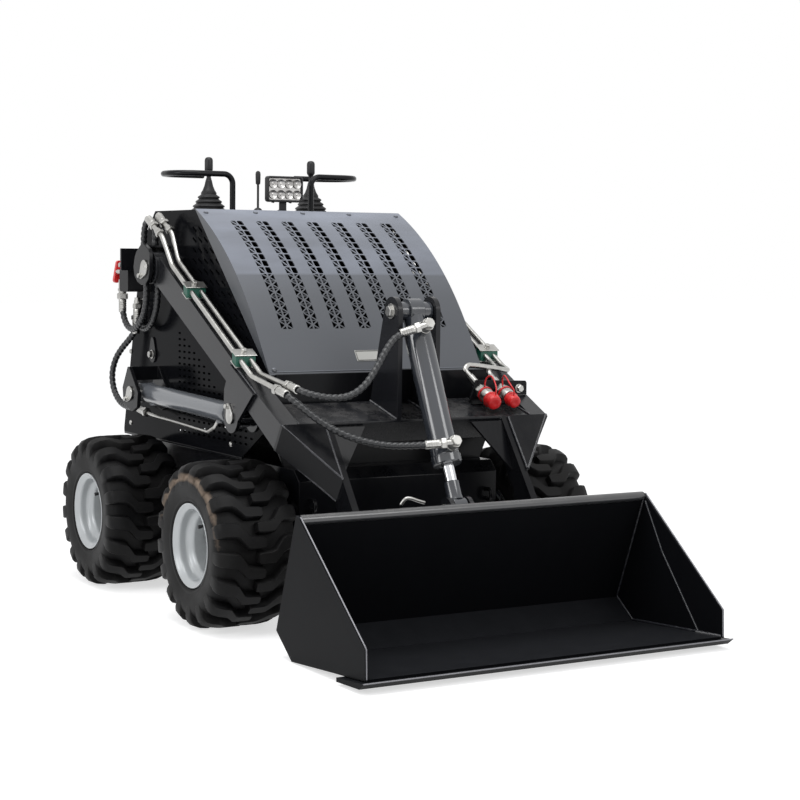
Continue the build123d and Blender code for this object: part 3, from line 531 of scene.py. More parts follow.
def evenly(line, gap):
    """Points at equal gaps along a line of points."""
    lengths = [0.0]
    for a, b in zip(line, line[1:]):
        lengths.append(lengths[-1] + (b - a).length)
    total = lengths[-1]
    count = max(2, round(total / gap))
    found, k = [], 0
    for i in range(count + 1):
        goal = total * i / count
        while k < len(lengths) - 2 and lengths[k + 1] < goal:
            k += 1
        share = (goal - lengths[k]) / max(1e-9, lengths[k + 1] - lengths[k])
        found.append(line[k].lerp(line[k + 1], min(1.0, max(0.0, share))))
    return found


def teardrop(plane, big, small):
    """Outline round two circles, each (a, b, radius), as points of plane(a, b)."""
    reach = hypot(small[0] - big[0], small[1] - big[1])
    along = ((small[0] - big[0]) / reach, (small[1] - big[1]) / reach)
    lean = (big[2] - small[2]) / reach
    half = pi / 2 - lean * (1 + lean * lean / 6)
    found = []
    for centre, count, first, last in ((small, 8, -half, half), (big, 14, half, 2 * pi - half)):
        for k in range(count + 1):
            a = first + (last - first) * k / count
            way = (cos(a) * along[0] - sin(a) * along[1], cos(a) * along[1] + sin(a) * along[0])
            found.append(plane(centre[0] + centre[2] * way[0], centre[1] + centre[2] * way[1]))
    return found


# What a user may change

class LoaderLook(bpy.types.PropertyGroup):
    """Colours of the loader's main paints."""

    body_colour: FloatVectorProperty(name="Body paint", description="Colour of the chassis, panels and arms",
                                     default=(0.0052, 0.0055, 0.0068), size=3, subtype="COLOR", min=0.0, max=1.0)
    hood_colour: FloatVectorProperty(name="Hood paint", description="Colour of the curved hood",
                                     default=(0.082, 0.087, 0.097), size=3, subtype="COLOR", min=0.0, max=1.0)
    plating_colour: FloatVectorProperty(name="Zinc", description="Colour of pins, tubes and fittings",
                                        default=(0.5, 0.495, 0.475), size=3, subtype="COLOR", min=0.0, max=1.0)
    clamp_colour: FloatVectorProperty(name="Clamps", description="Colour of the plastic tube clamps",
                                      default=(0.006, 0.085, 0.055), size=3, subtype="COLOR", min=0.0, max=1.0)
    cap_colour: FloatVectorProperty(name="Caps", description="Colour of the coupler caps and the valve's handle",
                                    default=(0.62, 0.012, 0.014), size=3, subtype="COLOR", min=0.0, max=1.0)


class LoaderSizes(bpy.types.PropertyGroup):
    """Sizes of the loader's fine detail."""

    lug_count: IntProperty(name="Lugs", description="Lugs in each row of a tyre", default=17, min=8, max=30)
    lug_height: FloatProperty(name="Lug height", description="How far a lug stands out of the tread",
                              default=0.023, min=0.005, max=0.04, unit="LENGTH")
    wrap_pitch: FloatProperty(name="Wrap pitch", description="Distance between turns of a hose's spiral wrap",
                              default=0.016, min=0.004, max=0.04, unit="LENGTH")
    bead_width: FloatProperty(name="Weld width", description="Width of the weld beads",
                              default=0.007, min=0.002, max=0.02, unit="LENGTH")
    hood_pitch: FloatProperty(name="Grille pitch", description="Distance from one hole to the next up the hood",
                              default=0.0293, min=0.02, max=0.05, unit="LENGTH")


# Stage

class LOADER_OT_stage(bpy.types.Operator):
    """Set the camera, the lamps, the pale floor and the backdrop"""

    bl_idname = "loader.stage"
    bl_label = "Stage and camera"

    def execute(self, context):
        scene = context.scene
        scene.view_settings.view_transform = "Standard"
        picture, focal = 800, 1862.1
        yaw, pitch, roll = 0.5321, 0.0796, 0.0100
        ahead = Vector((sin(yaw) * cos(pitch), cos(yaw) * cos(pitch), -sin(pitch)))
        right = Vector((cos(yaw), -sin(yaw), 0.0))
        up = right.cross(ahead)
        across = cos(roll) * right + sin(roll) * up
        rise = -sin(roll) * right + cos(roll) * up
        lens = bpy.data.cameras.new("Camera")
        lens.sensor_width = 36.0
        lens.lens = focal / picture * lens.sensor_width
        lens.shift_x = -7.12 / picture
        lens.shift_y = 3.19 / picture
        lens.clip_start, lens.clip_end = 0.05, 200.0
        camera = bpy.data.objects.new("Camera", lens)
        turn = Matrix((across, rise, -ahead)).transposed().to_4x4()
        camera.matrix_world = Matrix.Translation((-2.6191, -4.8403, 1.0193)) @ turn
        scene.collection.objects.link(camera)
        scene.camera = camera

        plain = 0.62
        scene.world = bpy.data.worlds.new("Studio")
        scene.world.use_nodes = True
        scene.world.node_tree.nodes.clear()
        sky = Graph(scene.world.node_tree)
        white = sky.node("ShaderNodeBackground", {}, {"Color": (1.0, 1.0, 1.0, 1.0), "Strength": 1.0})
        fill = sky.node("ShaderNodeBackground", {}, {"Color": (0.97, 0.98, 1.0, 1.0), "Strength": plain})
        both = sky.node("ShaderNodeMixShader", {}, {0: sky.backdrop_rays(), 1: fill, 2: white})
        sky.node("ShaderNodeOutputWorld", {}, {"Surface": both})

        for name, spot, aim, size, power in (
                ("Top softbox", (-0.6, -0.6, 3.6), (0.0, 0.0, 0.6), 3.0, 72.0),
                ("Left softbox", (-3.4, -0.2, 2.0), (-0.3, 0.1, 0.5), 1.6, 26.0),
                ("Front softbox", (1.2, -3.6, 2.6), (0.1, -0.6, 0.3), 1.8, 30.0)):
            lamp = bpy.data.lights.new(name, "AREA")
            lamp.shape = "DISK"
            lamp.size = size
            lamp.energy = power
            holder = bpy.data.objects.new(name, lamp)
            holder.location = spot
            holder.rotation_mode = "QUATERNION"
            holder.rotation_quaternion = (Vector(aim) - Vector(spot)).to_track_quat("-Z", "Y")
            scene.collection.objects.link(holder)

        paint = bpy.data.materials.new("Pale floor")
        paint.use_nodes = True
        paint.node_tree.nodes.clear()
        cover = Graph(paint.node_tree)
        matt = cover.node("ShaderNodeBsdfDiffuse", {}, {"Color": (0.65, 0.65, 0.65, 1.0)})
        level = cover.node("ShaderNodeEmission", {}, {"Strength": cover.backdrop_rays() * plain})
        both = cover.node("ShaderNodeAddShader", {}, {0: matt, 1: level})
        cover.node("ShaderNodeOutputMaterial", {}, {"Surface": both})
        ground = Stock()
        ground.mesh.faces.new([ground.mesh.verts.new((x, y, 0.0)) for x, y in ((-30, -30), (30, -30), (30, 30),
                                                                                (-30, 30))])
        data = bpy.data.meshes.new("floor")
        ground.mesh.to_mesh(data)
        ground.mesh.free()
        data.materials.append(paint)
        floor_piece = bpy.data.objects.new("floor", data)
        scene.collection.objects.link(floor_piece)
        return {"FINISHED"}


# Wheels

class LOADER_OT_tyres(bpy.types.Operator):
    """Build four lugged tyres"""

    bl_idname = "loader.tyres"
    bl_label = "Tyres"

    def execute(self, context):
        sizes = context.scene.loader_sizes
        crown = AXLE_HEIGHT
        floor_r = crown - sizes.lug_height
        carcass = [(0.1021, 0.1026), (0.1028, 0.108), (0.1055, 0.1175), (0.1115, 0.1215), (0.1135, 0.126),
                   (0.1128, 0.1295), (0.1136, 0.133), (0.116, 0.145), (0.1178, 0.158), (0.1185, 0.169),
                   (0.1172, 0.179), (0.113, 0.188), (0.1045, 0.1965), (0.092, floor_r - 0.005),
                   (0.07, floor_r - 0.0015), (0.035, floor_r)]
        profile = [(-a, r) for a, r in carcass] + [(a, r) for a, r in reversed(carcass)]
        # Centreline of a lug from its tip near the middle out over the shoulder:
        # across, along the rolling direction, half width, foot radius, top across, top radius
        line = ((-0.010, -0.031, 0.012, floor_r, -0.010, crown), (-0.004, -0.031, 0.0155, floor_r, -0.004, crown),
                (0.030, -0.030, 0.0165, floor_r, 0.030, crown), (0.040, -0.0265, 0.018, floor_r, 0.040, crown),
                (0.062, 0.001, 0.0205, floor_r - 0.001, 0.062, crown - 0.0006),
                (0.072, 0.0065, 0.020, floor_r - 0.0015, 0.072, crown - 0.0014),
                (0.090, 0.0085, 0.0205, floor_r - 0.004, 0.091, crown - 0.004),
                (0.104, 0.0095, 0.021, 0.1965, 0.107, crown - 0.0105),
                (0.111, 0.010, 0.021, 0.190, 0.1165, crown - 0.021),
                (0.1165, 0.0105, 0.020, 0.181, 0.1198, crown - 0.034),
                (0.118, 0.011, 0.0175, 0.172, 0.1199, crown - 0.047),
                (0.1182, 0.011, 0.015, 0.166, 0.1188, crown - 0.060))
        for name, x, y in WHEELS:
            facing = 1.0 if x > 0 else -1.0
            centre = Vector((x, y, AXLE_HEIGHT))
            stock = Stock()
            around = [2 * pi * k / 96 for k in range(96)]
            stock.rings([[centre + Vector((along, radius * sin(a), radius * cos(a))) for a in around]
                         for along, radius in profile])
            for row in (-1.0, 1.0):
                for k in range(sizes.lug_count):
                    start = 2 * pi * (k + (0.5 if row < 0 else 0.0)) / sizes.lug_count
                    self.lug(stock, centre, row, start, line, crown)
            tyre = stock.done("tyre_" + name + "_tread", "wheel_" + name, "rubber", 38.0, "tyre_rubber")
            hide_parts("tyre_" + name)
            self.soil(tyre.data, centre, facing, 1.0 if name == "front_right" else 0.35)
        return {"FINISHED"}

    def lug(self, stock, centre, row, start, line, crown):
        """One bar from the middle of the tread to the shoulder, with rounded edges."""
        rings = []
        for across, along, wide, foot, top_across, top in line:
            def spot(side, radius, offset):
                a = start + offset / crown
                return centre + Vector((row * side, radius * sin(a), radius * cos(a)))
            lift = Vector((top_across - across, top - foot))
            edge = (across + 0.86 * lift.x, foot + 0.86 * lift.y)
            rings.append([spot(across, foot - 0.002, along - wide - 0.0035), spot(*edge, along - wide),
                          spot(top_across, top, along - wide + 0.003), spot(top_across, top, along),
                          spot(top_across, top, along + wide - 0.003),
                          spot(*edge, along + wide), spot(across, foot - 0.002, along + wide + 0.0035)])
        stock.rings(rings, caps=(True, True))

    def soil(self, data, centre, facing, amount):
        """Mark where dry dust clings: the outer shoulder, most of all near the top."""
        values = []
        for v in data.vertices:
            away = v.co - centre
            radius = hypot(away.y, away.z)
            outer = max(0.0, min(1.0, (away.x * facing - 0.07) / 0.045))
            ring = max(0.0, 1.0 - abs(radius - 0.186) / 0.02)
            high = 0.32 + 0.68 * max(0.0, min(1.0, (away.z + 0.02) / 0.17))
            values.append(amount * outer * ring * high)
        layer = data.attributes.new("dust", "FLOAT", "POINT")
        layer.data.foreach_set("value", values)


class LOADER_OT_rims(bpy.types.Operator):
    """Build four deep silver rims with hubs and valves"""

    bl_idname = "loader.rims"
    bl_label = "Rims"

    def execute(self, context):
        barrel = [(0.1102, 0.1156), (0.1075, 0.1158), (0.1045, 0.1146),
                  (0.1024, 0.112), (0.1024, 0.1025)]
        inner = [(0.1102, 0.1156), (0.1112, 0.1148), (0.1114, 0.1138), (0.1107, 0.1122), (0.1086, 0.1094),
                 (0.1062, 0.1066), (0.104, 0.1036), (0.1022, 0.1004), (0.1, 0.0984), (0.096, 0.0972),
                 (0.09, 0.0966), (0.083, 0.0958), (0.0775, 0.0945), (0.0735, 0.0905), (0.0705, 0.084), (0.066, 0.0785),
                 (0.060, 0.0772), (0.024, 0.077)]
        for name, x, y in WHEELS:
            facing = 1.0 if x > 0 else -1.0
            axis = (facing, 0.0, 0.0)
            centre = Vector((x, y, AXLE_HEIGHT))
            stock = Stock()
            stock.turned(barrel, centre, axis, 96)
            stock.turned(inner, centre, axis, 96)
            stock.turned([(-a, r) for a, r in barrel], centre, axis, 96)
            stock.turned([(-0.1114, 0.0985), (-0.1, 0.0955), (-0.08, 0.0955), (-0.066, 0.0785), (0.008, 0.077)],
                         centre, axis, 96)
            stock.turned([(0.024, 0.0772), (0.0205, 0.076), (0.0172, 0.072), (0.0172, 0.052), (0.0195, 0.046),
                          (0.0195, 0.034)], centre, axis, 64)
            stock.turned([(0.0195, 0.034), (0.0195, 0.0)], centre, axis, 64)
            stock.turned([(0.009, 0.0772), (0.009, 0.0)], centre, axis, 64)
            rim = stock.done("rim_" + name + "_dish", "wheel_" + name, "rim", 45.0, "rim_paint")
            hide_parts("rim_" + name)
            hub = Stock()
            hub.turned([(0.0195, 0.031), (0.032, 0.030), (0.036, 0.027), (0.0365, 0.0)], centre, axis, 48)
            hub.turned([(-0.03, 0.06), (0.0088, 0.06), (0.0088, 0.0)], centre, axis, 48)
            hub.turned([(-0.03, 0.0), (-0.03, 0.06)], centre, axis, 48)
            for k in range(5):
                a = 2 * pi * k / 5 + 0.3
                spot = centre + Vector((facing * 0.0174, 0.0508 * sin(a), 0.0508 * cos(a)))
                hub.hex_head(spot, axis, 0.019, 0.013, 0.0135)
                hub.turned([(0.012, 0.0062), (0.019, 0.0062), (0.0205, 0.005), (0.0205, 0)], spot, axis, 16)
            hub.done("hub_" + name, "wheel_" + name, "zinc", 35.0, "zinc_steel")
            valve = Stock()
            a = radians(38)
            root = centre + Vector((facing * 0.069, -0.0805 * sin(a), 0.0805 * cos(a)))
            lean = Vector((facing * 0.9, 0.25 * sin(a), -0.25 * cos(a)))
            valve.turned([(-0.004, 0.0075), (0.004, 0.0072), (0.008, 0.0048), (0.028, 0.0042), (0.029, 0.0052),
                          (0.038, 0.0050), (0.039, 0.0)], root, lean, 16)
            valve.done("valve_" + name, "wheel_" + name, "plastic", 35.0)
        return {"FINISHED"}


# Body

BODY_NODES = (("frame_tub", "chassis", "body", "body_paint", 0.0015),
              ("console_deck", "chassis", "body", "body_paint", 0.0015),
              ("rear_panel", "chassis", "body", "body_paint", 0.0015),
              ("platform", "chassis", "body", "body_paint", 0.0012),
              ("lift_brackets", "chassis", "body", "body_paint", 0.0012),
              ("drive_motors", "chassis", "iron", "dark_iron", 0.002),
              ("engine_block", "chassis", "iron", "dark_iron", 0.006),
              ("hose_elbows", "chassis", "zinc", "zinc_steel", 0.0008),
              ("arm_right", "lift_arm", "arm", "arm_paint", 0.0025),
              ("arm_left", "lift_arm", "arm", "arm_paint", 0.0025),
              ("cross_beam", "lift_arm", "beam", "arm_paint", 0.0025),
              ("mast", "lift_arm", "arm", "arm_paint", 0.0015),
              ("legs", "lift_arm", "body", "arm_paint", 0.002),
              ("lift_rod_right", "lift_piston_right", "chrome", "chrome_rod", 0.001),
              ("lift_rod_left", "lift_piston_left", "chrome", "chrome_rod", 0.001),
              ("attach_plate", "bucket", "arm", "arm_paint", 0.0012),
              ("bucket_pins", "bucket", "zinc", "zinc_steel", 0.0008))


class LOADER_OT_body(bpy.types.Operator):
    """Dress the plates, arms, rods and bucket with paint and rounded edges"""

    bl_idname = "loader.body"
    bl_label = "Plates, arms and bucket"

    def execute(self, context):
        for node, body, finish, slot, edge in BODY_NODES:
            cast(node, body, finish, edge)
        for finish, tag in (("bucket", "shell"), ("bar", "bar")):
            def picked(x, y, z, bar=tag == "bar"):
                return bar == (hypot(y + 914, z - 362) < 13.4 and abs(x) < 528)
            piece = cast("bucket", "bucket", finish, 0.0012, picked, tag)
            for v in piece.data.vertices:
                v.co.x = max(-0.552, min(0.552, v.co.x))
        return {"FINISHED"}


# Millimetres: the columns of holes, the flat foot's and the whole run's length up the hood,
# and the arch's radius and middle (y, z) for the hood and for the panels' edge under it
HOOD_COLUMNS = (-250, -166, -83, 2, 87, 172, 257)
HOOD_FOOT = 157.9
HOOD_RUN = 695
HOOD_RADIUS = 1013.7
HOOD_MIDDLE = (540.7, 223.6)
PANEL_MIDDLE = (542.8, 221.1)
ARCH_START = 144.446
ARCH_END = 114.087


def on_hood(x, run, depth):
    """Place on the hood, all in millimetres: run up from its foot, depth below its face."""
    if run < HOOD_FOOT:
        y, z = -375 + 91 * run / HOOD_FOOT, 684 + 129 * run / HOOD_FOOT
        face = (-0.817, 0.5765)
    else:
        turn = radians(ARCH_START) - (run - HOOD_FOOT) / HOOD_RADIUS
        face = (cos(turn), sin(turn))
        y, z = HOOD_MIDDLE[0] + HOOD_RADIUS * face[0], HOOD_MIDDLE[1] + HOOD_RADIUS * face[1]
    return mm(x, y - depth * face[0], z - depth * face[1])


def softened(left, low, right, high, round_by):
    """Outline of a square hole with rounded corners."""
    found = []
    for x, y, turn in ((right, low, -pi / 2), (right, high, 0), (left, high, pi / 2), (left, low, pi)):
        cx = x - round_by if x == right else x + round_by
        cy = y - round_by if y == high else y + round_by
        found += [(cx + round_by * cos(turn + k * pi / 4), cy + round_by * sin(turn + k * pi / 4)) for k in range(3)]
    return found


class LOADER_OT_hood(bpy.types.Operator):
    """Roll the perforated hood over its arch"""

    bl_idname = "loader.hood"
    bl_label = "Hood"

    def execute(self, context):
        pitch = context.scene.loader_sizes.hood_pitch * 1000
        holes = []
        for middle in HOOD_COLUMNS:
            run = 618.5
            while run - pitch > 130:
                holes += self.cell(middle, run - pitch + 2, pitch - 4)
                run -= pitch
        bends = [HOOD_FOOT + k * pitch / 2 for k in range(int((HOOD_RUN - HOOD_FOOT) / pitch * 2))]
        bands = [((-347.9, run), (347.9, run)) for run in bends]
        sheet = Stock()
        sheet.punched([(-348, 0), (348, 0), (348, HOOD_RUN), (-348, HOOD_RUN)], holes, bands, on_hood, 3.0)
        hood = sheet.done("hood_sheet", "hood", "hood", 25.0, "hood_paint")
        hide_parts("hood")
        trim = Stock()
        knuckle = [(y, z) for y, z in ((125, 1147.5), (133.5, 1146.2), (137.5, 1144.4), (139.6, 1140), (138, 1135.8),
                                       (133.5, 1133.8), (129, 1135.4), (126, 1139))]
        trim.rings([[mm(x, y, z) for y, z in knuckle] for x in (-338, 338)], caps=(True, True))
        for x, run in ((-325, 668), (-160, 674), (0, 676), (160, 674), (325, 668), (-330, 16), (330, 16)):
            face = (on_hood(x, run, -1) - on_hood(x, run, 0)).normalized()
            trim.turned([(0, 0.0075), (0.0012, 0.0075), (0.0035, 0.006), (0.0045, 0.0035), (0.0048, 0)],
                        on_hood(x, run, 0), face, 16)
        trim.done("hood_hinge", "hood", "hood", 35.0)
        plate = Stock()
        corners = ((-60, 38.5), (38, 38.5), (38, 75), (-60, 75))
        plate.slab([on_hood(x, run, -0.1) for x, run in corners], 0.0012, 0.0004)
        plate.done("blank_plate", "hood", "plate", 35.0)
        rim = Stock()
        rim.pipe([on_hood(x, run, -1.4) for x, run in ((-57, 41.5), (35, 41.5), (35, 72), (-57, 72), (-57, 41.5))],
                 0.0011, 6)
        rim.done("plate_rim", "hood", "plastic", 35.0)
        lip = Stock()
        lip.pipe([on_hood(x, 9, 0.4) for x in (-345, 0, 345)], 0.0018, 8)
        lip.done("hood_lip", "hood", "hood", 50.0)
        return {"FINISHED"}

    def cell(self, middle, low, tall):
        """The holes of one step of a column: braced strips, the right one square above."""
        left, right = middle - 19, middle + 19
        high = low + tall
        found = []
        if low > 345:
            found.append(softened(middle + 2, low, right, high, 4.5))
            found.append([(left, low), (middle - 5, low), (left, high - 4)])
            found.append([(middle - 2, high), (left + 3, high), (middle - 2, low + 4)])
        else:
            half = low + tall / 2
            for near, far in ((left, middle - 2.5), (right, middle + 2.5)):
                inward = 1 if far > near else -1
                found.append([(near, low + 1), (far - 2 * inward, half), (near, high - 1)])
                found.append([(far, low - 1), (far, half - 3.5), (near + 3.5 * inward, low - 1)])
                found.append([(far, half + 3.5), (far, high + 1), (near + 3.5 * inward, high + 1)])
        return found


def slot_hole(y, z, length, width, tilt):
    """Outline of a slot with round ends."""
    half = (length - width) / 2
    found = []
    for end in (0, pi):
        for k in range(5):
            a = tilt + end - pi / 2 + k * pi / 4
            found.append((y + half * cos(tilt + end) + width / 2 * cos(a),
                          z + half * sin(tilt + end) + width / 2 * sin(a)))
    return found


class LOADER_OT_towers(bpy.types.Operator):
    """Weld up the plates that carry the arms' pivots"""

    bl_idname = "loader.towers"
    bl_label = "Pivot towers"

    def execute(self, context):
        outer = [(229, 1012), (236, 1027), (282, 1046), (292, 1046), (333, 1021), (346, 1005), (356, 975), (349, 948),
                 (327, 929), (297, 921), (264, 922), (240, 938), (230, 960)]
        inner = [(208, 1003), (302, 1030), (465, 1030), (465, 960), (400, 900), (225, 905)]
        for side, sign in SIDES:
            stock = Stock()
            for near, thick, outline in ((440, 12, outer), (345, 10, inner)):
                start = near if sign > 0 else -near - thick
                stock.slab([mm(start, y, z) for y, z in reversed(outline)], thick / 1000, 0.0012)
            for width, edge, outline in ((86, 0.0008, ((326, 1012), (330, 1018), (292, 1040), (286, 1034))),
                                         (97, 0.0012, ((455, 962), (465, 962), (465, 1030), (455, 1030)))):
                start = 355 if sign > 0 else -355 - width
                stock.slab([mm(start, y, z) for y, z in outline], width / 1000, edge)
            stock.turned([(0, 0.0155), (0, 0.027), (0.0035, 0.027), (0.005, 0.0255), (0.005, 0.0155)],
                         mm(sign * 434.6, *ARM_PIVOT), (sign, 0, 0), 40)
            stock.bead([mm(sign * 353, 459, 962), mm(sign * 353, 454, 1030)], 0.006)
            tower = stock.done("pivot_tower_" + side, "chassis", "body", 30.0, "body_paint")
            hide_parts("pivot_towers")
        return {"FINISHED"}


class LOADER_OT_panels(bpy.types.Operator):
    """Cut the slotted side panels"""

    bl_idname = "loader.panels"
    bl_label = "Side panels"

    def execute(self, context):
        curve = []
        for k in range(25):
            turn = radians(ARCH_START + (ARCH_END - ARCH_START) * k / 24)
            curve.append((PANEL_MIDDLE[0] + HOOD_RADIUS * cos(turn), PANEL_MIDDLE[1] + HOOD_RADIUS * sin(turn)))
        outline = [(-372.9, 681.4), (-402, 681.4), (-402, 560), (-190, 438), (700, 438), (700, 450), (552, 1041),
                   (440, 1146.5)] + curve[::-1]
        holes = self.upper_slots() + self.lower_slots()
        for side, sign in SIDES:
            sheet = Stock()
            sheet.punched(outline, holes, (), lambda y, z, depth: mm(sign * (PANEL_X - depth), y, z), 5.0)
            panel = sheet.done("side_panel_" + side + "_sheet", "chassis", "panel", 30.0, "body_paint")
            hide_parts("side_panel_" + side)
        return {"FINISHED"}

    def upper_slots(self):
        """Slanted slots between the arch and the arm."""
        found = []
        for column in range(13):
            for row in range(24):
                y, z = 140 - 41 * column, 1119 - 31.4 * row
                clear = HOOD_RADIUS - hypot(y - PANEL_MIDDLE[0], z - PANEL_MIDDLE[1])
                if clear < 34 or z < above_arm(y, -75) or y < -360 or z < 560:
                    continue
                found.append(slot_hole(y, z, 32, 8, radians(28)))
        return found

    def lower_slots(self):
        """Small level slots below the arm."""
        found = []
        for row in range(17):
            z = 775 - 18.55 * row
            for column in range(17):
                y = 250 - 36 * column
                if z < 470 or y < -330 or z > above_arm(y, -238) or z < 452 - 0.56 * (y + 190):
                    continue
                found.append(slot_hole(y, z, 18, 6.5, 0.0))
        return found


# Hydraulics

# Millimetres: the (x, y, z) that each hose passes, for the left side where there are two
TILT_UPPER = ((-375, -552.3, 664.9), (-372.6, -590, 659.2), (-348, -620, 647), (-300, -636, 637), (-246, -646, 640),
              (-200, -650, 668), (-160, -642, 716), (-124, -630, 766), (-84, -620, 804), (-42, -634, 818))
TILT_LOWER = ((-400, -535.3, 653.9), (-395.9, -572, 645.8), (-372, -606, 618), (-332, -638, 578),
              (-282, -670, 545), (-224, -700, 523), (-164, -726, 513), (-106, -750, 513.4), (-42, -774, 518.4))
ARM_OUTER = ((412, 300.3, 1104.1), (412, 334.5, 1120), (411, 366, 1098), (409, 379, 1044), (405, 376, 975),
             (402, 371, 908), (400, 384, 846), (399, 428, 798), (398, 490, 774), (397, 548, 786),
             (397, 582, 826), (397, 582, 867.7))
ARM_INNER = ((385, 285.3, 1112.1), (384, 318, 1128.4), (381, 349, 1108), (379, 359, 1052), (377, 353, 982),
             (375, 346, 914), (374, 356, 852), (374, 390, 803), (373, 440, 779), (372, 490, 783),
             (372, 520, 806), (372, 520, 837.7))
LIFT = ((364, 552, 799.7), (364, 552, 772), (374, 580, 742), (386, 616, 712), (395, 650, 676), (400, 668, 628),
        (400, 656, 582), (400, 618, 550), (399, 568, 532), (398, 512, 530), (397, 456, 531.6), (397, 400.3, 526.03))
HOSES = [("tilt_hose_upper", TILT_UPPER, 1, 0.462, "lift_arm", "tilt_cylinder"),
         ("tilt_hose_lower", TILT_LOWER, 1, 0.485, "lift_arm", "tilt_cylinder")]
for flank, facing in SIDES:
    HOSES.append(("arm_hose_outer_" + flank, ARM_OUTER, facing, 0.604, "lift_arm", "chassis"))
    HOSES.append(("arm_hose_inner_" + flank, ARM_INNER, facing, 0.555, "lift_arm", "chassis"))
    HOSES.append(("lift_hose_" + flank, LIFT, facing, 0.533, "chassis", "lift_cylinder_" + flank))


# The tilt cylinder's direction, the way its ports point, and how far down it they stand
TILT_WAY = Vector((0, -0.42824, -0.90367))
TILT_OUT = Vector((0, -0.90367, 0.42824))
TILT_PORTS = (66, 406)
CLAMPS = (15, -318)


def from_tilt_top(x, y, z):
    """A place in millimetres as seen from the tilt cylinder's upper pin."""
    return Vector((x, y - TILT_TOP[0], z - TILT_TOP[1]))


class LOADER_OT_hoses(bpy.types.Operator):
    """Run the wrapped hoses with their crimped ends"""

    bl_idname = "loader.hoses"
    bl_label = "Hoses"

    def execute(self, context):
        pitch = context.scene.loader_sizes.wrap_pitch
        for name, route, sign, length, near_body, far_body in HOSES:
            places = [mm(sign * x, y, z) for x, y, z in route]
            line = evenly(smooth_line(places, 160), pitch / 8)
            stock = Stock()
            count = len(line)

            def wrap(k, a, count=count):
                turn = (k / 8 + a / (2 * pi)) % 1.0
                fade = min(1.0, k / 10, (count - 1 - k) / 10)
                return fade * 0.0028 * (abs(sin(pi * turn)) ** 0.5 - 0.74)
            stock.pipe(line, 0.0094, 16, wrap)
            hose = stock.done(name + "_wrap", None, "wrap", 60.0, "hydraulic_hose")
            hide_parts(name)
            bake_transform(hose)
            for end, spot, ahead, body in (("start", places[0], places[1], near_body),
                                           ("end", places[-1], places[-2], far_body)):
                self.crimp(name + "_" + end, spot, (ahead - spot).normalized(), body)
        return {"FINISHED"}

    def crimp(self, name, spot, way, body):
        """A crimped shell over a hose's end, with its nut on the fitting."""
        shell = [(-0.003, 0.0075), (-0.003, 0.0112), (0.0, 0.0122)]
        for k in range(5):
            base = 0.003 + 0.0068 * k
            shell += [(base, 0.0124), (base + 0.0045, 0.0124), (base + 0.0052, 0.0117), (base + 0.0061, 0.0117)]
        shell += [(0.0375, 0.0122), (0.039, 0.0114), (0.0392, 0.0092)]
        stock = Stock()
        stock.turned(shell, spot, way, 24)
        stock.nut(spot - way * 0.0195, way, 0.026, 0.0155, 0.0072)
        stock.turned([(-0.0215, 0.0072), (-0.0215, 0.0098), (-0.0195, 0.0098), (-0.0195, 0.0072)], spot, way, 24)
        stock.done(name + "_crimp", body, "zinc", 30.0, "zinc_steel")


